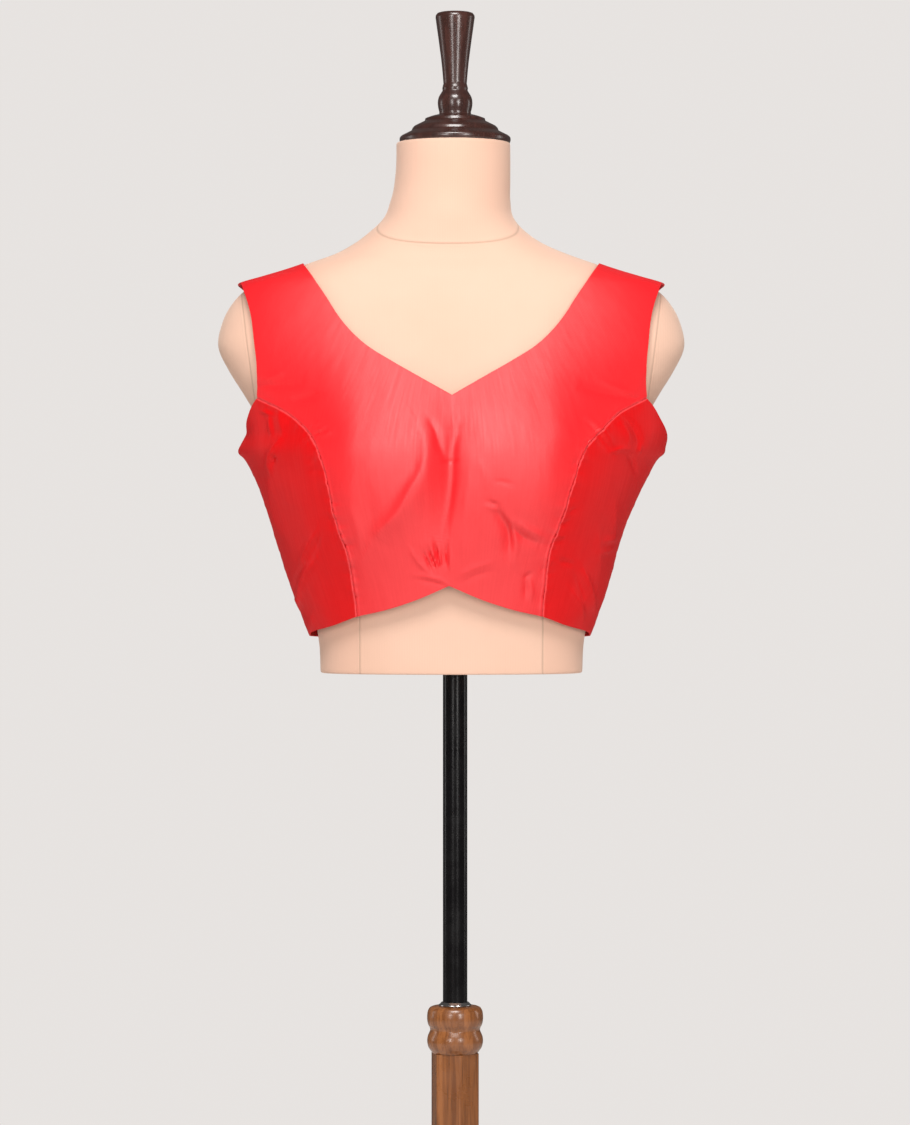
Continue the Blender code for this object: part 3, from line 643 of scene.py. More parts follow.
def armholeFront():
    places = (blouse["seamHead"], (172.6, 1169.0), (173.2, 1182.5), (176.2, 1209.0), (181.8, 1236.0))
    edge = cloth.front(*np.transpose(places))
    tip = blouse["strapOuter"]
    return np.concatenate([edge, cloth.top([tip - 4.0, tip], [-12.0, blouse["shoulderSeamBack"]])])


def necklineFront():
    # from the shoulder seam down to the V
    places = (
        (128.6, 1265.0),
        (120.8, 1253.6),
        (109.4, 1236.5),
        (100.7, 1222.6),
        (89.7, 1208.6),
        (75.0, 1194.7),
        (54.0, 1181.0),
        (31.0, 1167.5),
        (0.0, blouse["neckPoint"]),
    )
    shoulder = cloth.top([blouse["strapInner"]], [blouse["shoulderSeamBack"]])
    return np.concatenate([shoulder, cloth.front(*np.transpose(places))])


def shoulderSeam(count):
    across = np.linspace(blouse["strapOuter"], blouse["strapInner"], count + 1)
    return cloth.top(across, blouse["shoulderSeamBack"])


def armholeSide():
    degrees = (73.2, 77.3, 81.8, 85.5, 88.0, 90.0)
    edge = cloth.around(degrees, (1142.5, 1131.5, 1121.5, 1114.5, 1108.5, blouse["underarm"]))
    head = blouse["seamHead"]
    return np.concatenate([cloth.front([head[0]], [head[1]]), edge])


def hemSide():
    foot = blouse["seamFoot"]
    middle = cloth.around([58.0, 75.0, 90.0], [947.5, 941.5, blouse["sideHem"]])
    return np.concatenate([cloth.front([foot[0]], [foot[1]]), middle])


def sideSeam():
    return cloth.around(90.0, np.linspace(blouse["sideHem"], blouse["underarm"], 9))


def hemBack(start, end):
    degrees = np.linspace(start, end, 9)
    fall = blouse["sideHem"] - blouse["backHem"]
    return cloth.around(degrees, blouse["sideHem"] - fall * np.sin(np.radians(degrees - 90.0)))


def armholeUnder():
    degrees = (90.0, 94.0, 98.5, 103.0, blouse["armholeTurn"][0])
    heights = (blouse["underarm"], 1103.5, 1108.0, 1121.0, blouse["armholeTurn"][1])
    return cloth.around(degrees, heights)


def armholeBack():
    turn = cloth.around([blouse["armholeTurn"][0]], [blouse["armholeTurn"][1]])
    high = cloth.back([180.5, 178.0, 179.0, 184.5], [1168.0, 1192.0, 1218.0, 1242.0])
    tip = cloth.top([blouse["strapOuter"]], [blouse["shoulderSeamBack"]])
    return np.concatenate([turn, high, tip])


def backRib():
    # the line up the back, from the hem to the armhole, where its two grids meet
    foot = hemBack(blouse["backRibFoot"], 180.0)[0, 2]
    degrees = (blouse["backRibFoot"], 115.0, 112.0, blouse["armholeTurn"][0])
    return cloth.around(degrees, (foot, 1000.0, 1075.0, blouse["armholeTurn"][1]))


def necklineBack():
    places = ((0, 1192), (34, 1195), (62, 1206), (84, 1223), (102, 1242), (119, 1259))
    edge = cloth.back(*np.transpose(places))
    return np.concatenate([edge, cloth.top([blouse["strapInner"]], [blouse["shoulderSeamBack"]])])


def centreBack():
    return cloth.back(0.0, np.linspace(blouse["backHem"], blouse["backNeck"], 12))


def patch(bottom, top, left, right, reach=1.0):
    # a grid of points between four edges, laid on the worn cloth's surface: with a larger reach
    # the right edge's own shape carries less far into it
    s = (((shares(bottom) + shares(top)) / 2) ** reach)[None, :, None]
    t = ((shares(left) + shares(right)) / 2)[:, None, None]
    corners = (1 - s) * (1 - t) * bottom[0] + s * (1 - t) * bottom[-1]
    corners = corners + (1 - s) * t * top[0] + s * t * top[-1]
    flat = (1 - t) * bottom + t * top + (1 - s) * left[:, None] + s * right[:, None]
    grid = cloth.settle(flat - corners)
    grid[0], grid[-1] = cloth.settle(bottom), cloth.settle(top)
    grid[:, 0], grid[:, -1] = cloth.settle(left), cloth.settle(right)
    return grid


def mirrored(grid):
    return (grid * otherSide)[:, ::-1]


# Each crease is a soft line seen straight from the front or from behind: its points as across and
# height, how wide it falls away on its two sides, and its rise, below 0 for a trough. Right and left
# are as seen from the front.
frontFolds = (
    (((3.0, 1142.0), (0.0, 1080.0), (-9.0, 1014.0)), 14.0, 14.0, -2.4),
    (((-30.0, 1122.0), (-22.0, 1082.0), (-58.0, 1032.0)), 15.0, 15.0, 1.8),
    (((38.0, 1058.0), (54.0, 1032.0), (54.0, 1002.0)), 14.0, 14.0, -1.8),
    (((-158.0, 1118.0), (-160.0, 1092.0), (-148.0, 1060.0)), 14.0, 14.0, 1.6),
    (((-118.0, 1022.0), (-131.0, 990.0), (-129.0, 958.0)), 14.0, 14.0, 1.5),
    (((148.0, 1128.0), (164.0, 1104.0), (168.0, 1080.0)), 14.0, 14.0, -1.5),
    (((118.0, 1000.0), (128.0, 975.0), (126.0, 952.0)), 14.0, 14.0, 1.5),
    # middle of the front
    (((1.5, 1122.0), (0.8, 1090.0), (0.2, 1062.0), (-3.6, 1034.0), (-9.0, 1012.0)), 3.6, 17.0, -3.2),
    (((16.5, 1109.4), (15.6, 1066.0), (13.1, 1022.6), (15.7, 994.7)), 6.0, 5.0, 0.3),
    (((-6.1, 1090.3), (-0.9, 1091.5), (5.2, 1092.0)), 1.6, 1.6, -0.6),
    (((-22.6, 1130.6), (-14.8, 1114.7), (-6.1, 1094.6)), 3.0, 4.0, -0.7),
    (
        (
            (-31.3, 1123.5),
            (-22.6, 1100.7),
            (-24.3, 1086.8),
            (-35.6, 1065.1),
            (-45.2, 1046.9),
            (-60.1, 1030.5),
            (-67.2, 1020.9),
        ),
        15.0,
        5.5,
        4.0,
    ),
    # gathers above the notch
    (((-34.2, 1017.1), (-25.8, 1002.9), (-15.9, 993.0)), 1.6, 2.2, 0.5),
    (((-21.7, 1012.9), (-17.8, 1003.0), (-13.9, 994.6)), 0.9, 1.5, -0.75),
    (((-17.5, 1016.2), (-14.4, 1006.0), (-10.9, 996.3)), 0.9, 1.4, -0.80),
    (((-14.2, 1013.9), (-11.6, 1004.6), (-8.8, 996.3)), 1.1, 1.1, 0.35),
    (((-12.2, 1022.2), (-9.6, 1009.0), (-7.2, 996.9)), 0.9, 1.6, -0.90),
    (((-8.3, 1017.9), (-7.0, 1008.0), (-5.9, 998.8)), 1.1, 1.1, 0.35),
    (((-5.6, 1014.6), (-5.2, 1007.0), (-4.4, 998.6)), 0.9, 1.3, -0.65),
    (((-0.9, 1021.2), (-1.5, 1010.0), (-2.0, 998.0)), 0.9, 1.4, -0.70),
    (((2.6, 1014.0), (1.8, 1005.2), (0.6, 994.8)), 1.6, 1.4, 0.4),
    (((-31.5, 992.9), (-16.6, 990.3), (-5.2, 986.8), (0.9, 982.4)), 2.0, 2.4, 0.35),
    (((-28.0, 987.7), (-14.0, 985.5), (-2.6, 981.6)), 1.8, 2.0, -0.3),
    (((7.9, 991.2), (21.8, 998.2), (38.4, 1003.4)), 2.6, 3.0, 0.3),
    (((9.6, 984.2), (23.6, 991.2), (39.4, 995.6)), 2.4, 2.6, -0.25),
    # right half of the front
    (((39.5, 1053.0), (46.1, 1042.6), (52.3, 1033.1), (54.4, 1021.8), (53.3, 1006.9)), 2.4, 6.0, -1.25),
    (((43.5, 1053.8), (51.3, 1041.7), (57.5, 1029.6), (59.4, 1015.7), (57.7, 1003.4)), 3.4, 3.0, 0.6),
    (((54.9, 1035.7), (65.4, 1026.1), (80.4, 1018.7)), 1.8, 3.2, -0.9),
    (((59.2, 1039.1), (70.6, 1031.3), (84.8, 1025.3)), 2.6, 3.0, 0.6),
    (((31.3, 1056.8), (37.4, 1054.7), (43.5, 1052.5)), 1.5, 1.8, -0.5),
    (((31.3, 1052.1), (37.4, 1049.9), (43.5, 1046.9)), 1.5, 1.8, 0.4),
    (((38.2, 1074.1), (46.0, 1072.9), (54.7, 1070.6)), 1.6, 2.0, -0.4),
    (((24.3, 1093.7), (29.5, 1079.8), (31.8, 1064.2)), 3.2, 4.5, 0.5),
    (((65.7, 989.4), (69.2, 991.7), (73.6, 993.3)), 1.5, 1.8, -0.6),
    (((67.1, 988.5), (67.6, 980.6), (66.7, 971.8)), 1.8, 2.4, -0.5),
    (((71.0, 986.8), (72.4, 978.9), (72.1, 970.0)), 2.2, 2.4, 0.4),
    (((107.1, 1163.2), (138.3, 1156.7), (172.0, 1147.9)), 7.0, 9.0, -0.6),
    (((114.1, 1156.1), (142.7, 1150.5), (172.0, 1147.0)), 2.6, 3.4, -0.6),
    (((129.3, 1163.6), (147.3, 1156.9), (166.4, 1148.6)), 2.4, 3.0, 0.5),
    (((112.8, 1127.6), (119.9, 1121.9), (127.0, 1114.7), (135.1, 1107.0), (142.5, 1098.4)), 2.0, 3.4, -1.1),
    (((118.2, 1129.5), (126.2, 1123.0), (134.3, 1114.9), (142.4, 1105.4)), 2.6, 3.0, 0.7),
    # left half of the front
    (((-128.9, 1118.8), (-123.5, 1122.0), (-116.4, 1125.4)), 1.5, 1.8, 0.6),
    (((-125.2, 1115.9), (-119.9, 1118.4), (-111.9, 1121.8)), 1.5, 1.8, 0.6),
    (((-122.5, 1110.5), (-115.4, 1113.9), (-106.5, 1117.4)), 1.5, 2.0, 0.7),
    (((-124.3, 1113.2), (-117.2, 1116.4), (-109.2, 1119.8)), 1.1, 1.3, -0.5),
    (((-143.6, 1146.5), (-130.1, 1148.1), (-115.8, 1150.8)), 3.4, 4.5, -0.9),
    (((-173.8, 1161.6), (-161.0, 1166.5), (-147.4, 1171.5)), 2.2, 3.0, 0.6),
    (((-173.8, 1159.5), (-153.6, 1159.4), (-132.9, 1159.2)), 2.0, 3.0, -0.5),
    (((-80.8, 1083.4), (-70.4, 1057.4), (-65.4, 1027.9)), 9.0, 12.0, -0.6),
    (((-89.7, 1057.4), (-79.4, 1031.4), (-74.5, 999.9)), 6.0, 8.0, 0.5),
    # left side panel
    (((-170.1, 1136.7), (-165.5, 1135.6), (-159.9, 1133.7)), 1.6, 2.2, 0.7),
    (((-162.7, 1132.5), (-162.1, 1124.5), (-161.2, 1114.8)), 1.8, 2.6, 0.8),
    (((-153.1, 1135.8), (-152.6, 1126.9), (-151.6, 1117.1)), 4.5, 5.5, 0.8),
    (((-149.8, 1114.4), (-156.2, 1104.0), (-160.2, 1092.8), (-158.2, 1080.5)), 2.2, 3.4, 1.1),
    (((-155.7, 1098.3), (-155.6, 1094.4), (-156.1, 1090.4)), 1.1, 1.4, -0.9),
    (((-160.9, 1081.5), (-156.0, 1047.1), (-144.1, 1020.3)), 5.0, 7.0, 1.0),
    (((-127.0, 1091.1), (-122.5, 1092.3), (-117.1, 1094.3)), 1.3, 1.6, -0.5),
    (((-125.3, 1082.6), (-119.9, 1083.9), (-114.4, 1085.9)), 1.3, 1.6, -0.5),
    (((-106.8, 1038.8), (-101.4, 1040.2), (-96.1, 1041.9)), 1.3, 1.6, -0.5),
    (((-102.5, 1025.3), (-97.2, 1026.2), (-91.8, 1027.9)), 1.3, 1.6, -0.5),
    (((-115.4, 1031.5), (-120.7, 1021.9), (-126.4, 1010.5), (-131.7, 997.2)), 2.0, 3.4, 0.9),
    (((-111.5, 1028.0), (-117.1, 1017.5), (-122.8, 1005.2)), 2.6, 3.0, -0.6),
    (((-115.8, 1006.1), (-124.8, 994.6), (-130.8, 981.2), (-135.0, 955.8)), 2.0, 3.6, 1.3),
    (((-122.8, 1007.0), (-131.4, 994.6), (-137.7, 980.2), (-140.4, 958.5)), 3.0, 3.0, -0.8),
    (((-120.9, 957.2), (-123.0, 949.1), (-125.5, 939.8)), 2.6, 3.6, 0.6),
    (((-150.3, 976.5), (-141.3, 972.0), (-131.1, 969.5)), 3.0, 4.0, 0.8),
    # right side panel
    (((149.8, 1133.9), (159.0, 1123.6), (164.5, 1114.0), (167.8, 1103.5)), 2.2, 3.2, -1.1),
    (((145.2, 1127.6), (152.5, 1118.1), (159.0, 1105.9)), 3.0, 3.0, 0.7),
    (((167.4, 1105.6), (167.8, 1102.7), (167.5, 1099.2)), 1.4, 1.6, 0.8),
    (((140.6, 1100.5), (149.8, 1103.2), (159.0, 1101.5)), 1.8, 2.4, 0.8),
    (((157.8, 1098.0), (162.1, 1091.1), (165.7, 1080.8)), 2.0, 3.0, -0.9),
    (((101.4, 1046.6), (106.7, 1048.0), (112.1, 1050.2)), 1.3, 1.6, -0.5),
    (((97.0, 1036.1), (102.4, 1037.6), (107.7, 1039.7)), 1.3, 1.6, -0.5),
    (((91.9, 1020.9), (97.2, 1021.8), (102.6, 1023.6)), 1.3, 1.6, -0.5),
    (((96.6, 1005.5), (103.8, 1003.4), (111.0, 1000.3)), 1.6, 2.2, -0.7),
    (((117.0, 1000.8), (121.3, 988.4), (125.2, 975.9), (128.9, 959.7)), 2.2, 3.6, 1.2),
    (((111.1, 996.4), (115.9, 982.2), (119.4, 968.0)), 2.6, 2.6, -0.7),
    (((105.5, 981.4), (111.4, 973.4), (116.1, 964.4), (118.6, 951.0)), 2.0, 3.2, 1.0),
    (((132.4, 1032.6), (133.8, 1014.1), (134.2, 995.4)), 4.0, 5.0, 0.6),
    (((145.9, 1060.0), (147.3, 1040.7), (146.2, 1017.7)), 4.0, 5.0, 0.8),
    (((135.5, 1022.0), (142.1, 1023.0), (149.9, 1026.6)), 2.6, 3.0, 0.8),
    (((133.8, 1012.3), (140.4, 1013.6), (148.3, 1016.8)), 2.4, 2.8, 0.7),
)
backFolds = (
    (((-118.0, 1082.0), (-70.0, 1066.0), (-16.0, 1060.0)), 16.0, 16.0, 1.6),
    (((-112.0, 1012.0), (-64.0, 1000.0), (-14.0, 1004.0)), 15.0, 15.0, 1.4),
    (((112.0, 1094.0), (66.0, 1074.0), (14.0, 1070.0)), 16.0, 16.0, 1.6),
    (((106.0, 998.0), (60.0, 990.0), (14.0, 982.0)), 15.0, 15.0, 1.4),
    (((-128.0, 1092.0), (-96.0, 1079.0), (-60.0, 1072.0)), 2.4, 4.5, 1.0),
    (((-124.0, 1104.0), (-98.0, 1092.0), (-76.0, 1088.0)), 3.0, 3.0, -0.7),
    (((-104.0, 1022.0), (-78.0, 1009.0), (-44.0, 1006.0)), 2.4, 4.0, 0.9),
    (((-116.0, 998.0), (-90.0, 987.0), (-62.0, 989.0)), 2.2, 3.6, -0.8),
    (((-70.0, 1128.0), (-64.0, 1104.0), (-66.0, 1086.0)), 4.0, 5.0, 0.6),
    (((-9.0, 1120.0), (-13.0, 1084.0), (-10.0, 1046.0)), 3.0, 5.0, 0.8),
    (((-7.0, 1010.0), (-15.0, 984.0), (-12.0, 956.0)), 2.6, 4.0, -0.7),
    (((-22.0, 1046.0), (-14.0, 1040.0), (-5.0, 1038.0)), 1.6, 2.2, -0.6),
    (((-24.0, 1066.0), (-15.0, 1063.0), (-5.0, 1064.0)), 1.6, 2.4, 0.6),
    (((-26.0, 978.0), (-16.0, 974.0), (-5.0, 975.0)), 1.6, 2.2, -0.6),
    (((-160.0, 1176.0), (-148.0, 1160.0), (-128.0, 1148.0)), 3.0, 5.0, 0.9),
    (((-164.0, 1160.0), (-150.0, 1146.0), (-134.0, 1138.0)), 2.6, 3.2, -0.8),
    (((-152.0, 1066.0), (-140.0, 1048.0), (-134.0, 1022.0)), 2.6, 4.4, 0.9),
    (((-128.0, 972.0), (-118.0, 958.0), (-112.0, 942.0)), 2.6, 3.8, 0.8),
    (((128.0, 1106.0), (94.0, 1086.0), (58.0, 1080.0)), 2.6, 4.2, 1.0),
    (((130.0, 1086.0), (106.0, 1072.0), (82.0, 1066.0)), 2.6, 3.4, -0.8),
    (((104.0, 1038.0), (76.0, 1030.0), (46.0, 1034.0)), 3.0, 4.6, 0.7),
    (((112.0, 1006.0), (84.0, 994.0), (54.0, 992.0)), 2.2, 3.8, 0.9),
    (((62.0, 1140.0), (58.0, 1118.0), (62.0, 1096.0)), 4.0, 5.0, 0.5),
    (((9.0, 1140.0), (13.0, 1110.0), (9.0, 1076.0)), 3.0, 5.0, 0.8),
    (((8.0, 1044.0), (14.0, 1016.0), (10.0, 990.0)), 2.6, 4.2, -0.7),
    (((5.0, 1088.0), (14.0, 1085.0), (24.0, 1088.0)), 1.6, 2.2, 0.6),
    (((5.0, 1024.0), (15.0, 1026.0), (26.0, 1031.0)), 1.6, 2.2, -0.6),
    (((5.0, 958.0), (14.0, 961.0), (22.0, 966.0)), 1.5, 2.2, 0.6),
    (((162.0, 1168.0), (148.0, 1154.0), (132.0, 1146.0)), 3.0, 4.8, 0.9),
    (((156.0, 1084.0), (146.0, 1060.0), (142.0, 1034.0)), 2.6, 4.4, -0.8),
    (((134.0, 990.0), (124.0, 972.0), (122.0, 950.0)), 2.6, 4.0, 0.8),
)


# On both sides of the side seams: the left armhole is drawn in, and both seams end in a small point
sideFolds = (
    (((-200.0, 1128.0), (-192.0, 1119.0), (-184.0, 1112.0)), 9.0, 9.0, -2.0),
    (((-196.0, 1106.0), (-191.0, 1103.0), (-186.0, 1099.0)), 3.4, 4.4, 1.0),
    (((186.0, 1099.0), (190.0, 1102.0), (196.0, 1105.0)), 3.2, 3.2, 0.8),
)


creaseShape = {
    "depth": 2.4,  # how strongly the narrow creases show
    "narrow": 10.0,  # the width that a crease is narrow below
    "reach": 3.2,  # how far it carries, in its widths
    "fall": 1.5,  # 2 for a rounder crease, 1 for a sharper one
    "steps": 40,
    "fades": 0.7,  # how early it dies away towards its ends
    "sideFade": 26.0,  # and towards the side seams, in millimetres
}


def foldLift(points, folds):
    # how far the creases lift each point
    seen = points[..., [0, 2]]
    lift = np.zeros(seen.shape[:-1])
    steps = creaseShape["steps"]
    for places, leftWidth, rightWidth, rise in folds:
        widest = max(leftWidth, rightWidth)
        if widest < creaseShape["narrow"]:
            rise = rise * creaseShape["depth"]
        places = np.array(places)
        at = alongCurve(places)
        line = smoothThrough(at, places, np.linspace(0.0, at[-1], steps + 1))
        reach = creaseShape["reach"] * widest
        low, high = line.min(axis=0) - reach, line.max(axis=0) + reach
        near = np.all((seen > low) & (seen < high), axis=-1)
        if not near.any():
            continue
        close = seen[near]
        away = close[:, None, :] - line
        distance = np.linalg.norm(away, axis=-1)
        nearest = distance.argmin(axis=-1)
        pick = np.arange(len(close))
        heading = np.gradient(line, axis=0)[nearest]
        offset = away[pick, nearest]
        side = heading[:, 0] * offset[:, 1] - heading[:, 1] * offset[:, 0]
        width = np.where(side > 0, leftWidth, rightWidth)
        end = np.clip(nearest / steps, 0.04, 0.96)
        fade = np.sin(math.pi * end) ** creaseShape["fades"]
        share = distance[pick, nearest] / width
        lift[near] += rise * fade * np.exp(-(share ** creaseShape["fall"]))
    return lift


# Small puckers along a seam: share of the seam, rise, half width along it, reach away from it
seamPuckers = {
    "princessFront": (
        (0.035, 0.30, 2.4, 6.0), (0.075, -0.35, 1.8, 5.0), (0.13, 0.25, 2.6, 8.0), (0.18, -0.35, 2.0, 7.0),
        (0.225, 0.40, 2.2, 6.0), (0.27, -0.40, 1.6, 9.0), (0.33, 0.45, 2.4, 8.0), (0.375, -0.45, 1.8, 7.0),
        (0.42, 0.35, 2.0, 10.0), (0.475, -0.35, 1.7, 6.0), (0.53, 0.40, 2.5, 8.0), (0.57, -0.45, 1.6, 9.0),
        (0.62, 0.45, 2.0, 9.0), (0.655, -0.50, 1.5, 8.0), (0.70, 0.50, 2.1, 10.0), (0.735, -0.40, 1.6, 8.0),
        (0.79, 0.30, 2.6, 7.0), (0.85, -0.30, 2.0, 6.0), (0.91, 0.25, 2.6, 6.0), (0.96, -0.25, 2.0, 5.0),
    ),
    "princessSide": (
        (0.05, -0.30, 2.0, 6.0), (0.10, 0.35, 2.4, 7.0), (0.16, -0.45, 1.8, 8.0), (0.21, 0.40, 2.2, 9.0),
        (0.255, -0.45, 1.6, 7.0), (0.31, 0.50, 2.4, 10.0), (0.35, -0.50, 1.7, 9.0), (0.40, 0.45, 2.0, 8.0),
        (0.45, -0.45, 1.8, 7.0), (0.505, 0.40, 2.3, 9.0), (0.55, -0.45, 1.7, 8.0), (0.60, 0.50, 2.1, 9.0),
        (0.64, -0.55, 1.6, 9.0), (0.685, 0.50, 2.0, 8.0), (0.72, -0.50, 1.7, 10.0), (0.77, 0.40, 2.2, 8.0),
        (0.82, -0.35, 1.9, 7.0), (0.88, 0.30, 2.4, 6.0), (0.94, -0.25, 2.0, 5.0),
    ),
    "side": (
        (0.06, 0.12, 2.4, 6.0), (0.13, -0.14, 2.0, 7.0), (0.20, 0.14, 2.6, 8.0), (0.29, -0.16, 2.0, 6.0),
        (0.36, 0.18, 2.4, 9.0), (0.44, -0.16, 1.8, 8.0), (0.53, 0.14, 2.6, 7.0), (0.61, -0.18, 2.0, 9.0),
        (0.69, 0.18, 2.2, 8.0), (0.78, -0.16, 1.8, 7.0), (0.86, 0.14, 2.4, 6.0), (0.94, -0.12, 2.0, 5.0),
    ),
    "centreBack": (
        (0.05, -0.25, 2.4, 6.0), (0.14, 0.30, 3.0, 8.0), (0.22, -0.35, 2.2, 7.0), (0.33, 0.35, 3.0, 9.0),
        (0.42, -0.35, 2.4, 7.0), (0.52, 0.40, 2.8, 9.0), (0.63, -0.30, 2.2, 6.0), (0.72, 0.30, 3.0, 7.0),
        (0.84, -0.25, 2.4, 6.0), (0.93, 0.25, 2.6, 5.0),
    ),
}
# How high the rolled edge stands along each seam, beside a full one
seamRidges = {"princessFront": 1.0, "princessSide": 0.4, "side": 0.8, "centreBack": 0.9}
seamShape = {
    "dip": -0.35,
    "dipWidth": 0.9,
    "ridge": 0.42,
    "ridgeAt": 1.9,
    "ridgeWidth": 1.2,
    "puckers": 2.0,  # how strongly they show
    "steps": 160,
}


def seamLift(points, curve, puckers, ridge=1.0):
    # the cloth rolls down into the seam, stands up a little beside it and puckers across it
    line = spacedCurve(curve, seamShape["steps"])
    along = alongCurve(line)
    flat = points.reshape(-1, 3)
    distance = np.full(len(flat), np.inf)
    place = np.zeros(len(flat))
    for k, spot in enumerate(line):
        away = np.linalg.norm(flat - spot, axis=1)
        closer = away < distance
        distance = np.where(closer, away, distance)
        place = np.where(closer, along[k], place)
    lift = seamShape["dip"] * np.exp(-((distance / seamShape["dipWidth"]) ** 2))
    beside = (distance - seamShape["ridgeAt"]) / seamShape["ridgeWidth"]
    lift += ridge * seamShape["ridge"] * np.exp(-(beside**2))
    for share, rise, width, reach in puckers:
        across = np.exp(-(((place - share * along[-1]) / width) ** 2))
        lift += seamShape["puckers"] * rise * across * np.exp(-((distance / reach) ** 2))
    return lift.reshape(points.shape[:-1]), distance


def gridInto(bm, points):
    # a flat grid from Blender, with each of its points moved to its place
    rows, columns = points.shape[:2]
    made = bmesh.ops.create_grid(bm, x_segments=columns - 1, y_segments=rows - 1, size=1.0)
    for vert in made["verts"]:
        column = round((vert.co.x + 1.0) / 2.0 * (columns - 1))
        row = round((vert.co.y + 1.0) / 2.0 * (rows - 1))
        vert.co = points[row, column]


def addPiece(bm, name, made, smoothAngle=40.0):
    mesh = bpy.data.meshes.new(name)
    bm.to_mesh(mesh)
    bm.free()
    mesh.materials.append(made)
    mesh.shade_smooth()
    mesh.set_sharp_from_angle(angle=math.radians(smoothAngle))
    piece = bpy.data.objects.new(name, mesh)
    bpy.context.scene.collection.objects.link(piece)
    return piece


def threadMap(mesh):
    # the cloth's own map in metres: round the body and up it
    layer = mesh.uv_layers.new(name="threads")
    spots = np.zeros(len(mesh.vertices) * 3)
    mesh.vertices.foreach_get("co", spots)
    spots = spots.reshape(-1, 3)
    corners = np.zeros(len(mesh.loops), np.int32)
    mesh.loops.foreach_get("vertex_index", corners)
    spots = spots[corners]
    # behind, the map turns the other way so that no face crosses its join
    way = 1.0 if spots[:, 1].mean() > 0 else -1.0
    spread = np.arctan2(spots[:, 0], way * spots[:, 1]) * blouse["threadRound"]
    places = np.stack([spread, spots[:, 2]], axis=1)
    layer.data.foreach_set("uv", places.ravel())


def clothPiece(name, grids, folds, seams, made, under=0.0, wall=None):
    # a thin wall of cloth on its grids of points, creased, and soft and rounded at every edge
    wall = wall or blouse["wall"]
    bm = bmesh.new()
    for grid in grids:
        gridInto(bm, grid)
    bmesh.ops.remove_doubles(bm, verts=bm.verts, dist=0.01)
    bmesh.ops.recalc_face_normals(bm, faces=bm.faces)
    bm.verts.index_update()
    places = np.array([v.co for v in bm.verts])
    normals = cloth.normals(places)
    largest = max(bm.faces, key=lambda face: face.calc_area())
    outwards = Vector(cloth.normals(np.array([largest.calc_center_median()]))[0])
    if largest.normal.dot(outwards) < 0:
        bmesh.ops.reverse_faces(bm, faces=bm.faces)
    # the creases of front and back die away before the side seams, so that both sides meet there
    fromSide = np.abs(places[:, 1] - cloth.section(places[:, 2])[3])
    fromSide = np.clip(fromSide / creaseShape["sideFade"], 0.0, 1.0)
    lift = foldLift(places, folds) * fromSide**2 * (3 - 2 * fromSide)
    lift = lift + foldLift(places, sideFolds) - under
    fromSeam = np.full(len(places), blouse["farFromSeam"])
    for curve, puckers, ridge in seams:
        raised, distance = seamLift(places, curve, puckers, ridge)
        lift += raised
        fromSeam = np.minimum(fromSeam, distance)
    places += normals * lift[:, None]
    places[:, 0] += sway(places[:, 2], 1)
    for vert, place in zip(bm.verts, places):
        vert.co = place * mm
    piece = addPiece(bm, name, made, 60.0)
    threadMap(piece.data)
    seamDistance = piece.data.attributes.new("seamDistance", "FLOAT", "POINT")
    seamDistance.data.foreach_set("value", fromSeam * mm)
    thicken = piece.modifiers.new("wall", "SOLIDIFY")
    thicken.thickness = wall * mm
    thicken.offset = -1.0
    rounding = piece.modifiers.new("turned edges", "BEVEL")
    rounding.width = blouse["edgeRound"] * mm
    rounding.segments = 3
    rounding.limit_method = "ANGLE"
    rounding.angle_limit = math.radians(55.0)
    return piece


frontSatin = makeSatin("red satin", satin["colour"], satin["deep"], satin["shine"], 0.0)
# every piece but the front gets the darker copy of the satin, with its painted shade
shadedSideSatin = makeSatin(
    "red satin shaded darker", satin["shadedSideColour"], satin["shadedSideDeep"], satin["sideShine"], satin["rollHighlightShows"]
)


def makeFront():
    # one piece with both straps, from the notch in its hem to the shoulder seams
    side = joined(
        spacedCurve(princessSeam(), blouse["rowsLow"]), spacedCurve(armholeFront(), blouse["rowsHigh"])
    )
    neck = spacedCurve(necklineFront(), blouse["neckColumns"])
    across = joined(shoulderSeam(blouse["strapColumns"]), neck)[::-1]
    hem = spacedCurve(hemFront(), blouse["strapColumns"] + blouse["neckColumns"])
    rows = blouse["rowsLow"] + blouse["rowsHigh"] + 1
    middle = cloth.front(0.0, np.linspace(blouse["notchHeight"], blouse["neckPoint"], rows))
    half = patch(hem, across, middle, side, reach=blouse["edgeReach"])
    seam = spacedCurve(princessSeam(), 60)
    ridge = seamRidges["princessFront"]
    puckers = seamPuckers["princessFront"]
    # on the left the upper puckers lie among the lower ones, so that the two seams differ
    leftPuckers = [(min(share, 1.0 - share), *rest) for share, *rest in puckers]
    seams = [(seam, puckers, ridge), (seam * otherSide, leftPuckers, ridge)]
    return clothPiece("blouse_front", [mirrored(half), half], frontFolds, seams, frontSatin)


def makeBothSides(names, grids, folds, seams):
    # the right piece on its grids, and the left one on their mirror images
    made = []
    for name, turned in zip(names, (False, True)):
        flip = otherSide if turned else 1.0
        sewn = [(curve * flip, seamPuckers[seam], seamRidges[seam]) for curve, seam in seams]
        sides = [mirrored(grid) for grid in grids] if turned else grids
        made.append(clothPiece(name, sides, folds, sewn, shadedSideSatin))
    return made


def makeSideFronts():
    bottom = spacedCurve(hemSide(), blouse["sideColumns"])
    top = spacedCurve(armholeSide(), blouse["sideColumns"])
    left = spacedCurve(princessSeam(), blouse["rowsLow"])
    right = spacedCurve(sideSeam(), blouse["rowsLow"])
    grid = patch(bottom, top, left, right)
    seams = [(left, "princessSide"), (right, "side")]
    return makeBothSides(("side_panel_right", "side_panel_left"), [grid], frontFolds, seams)


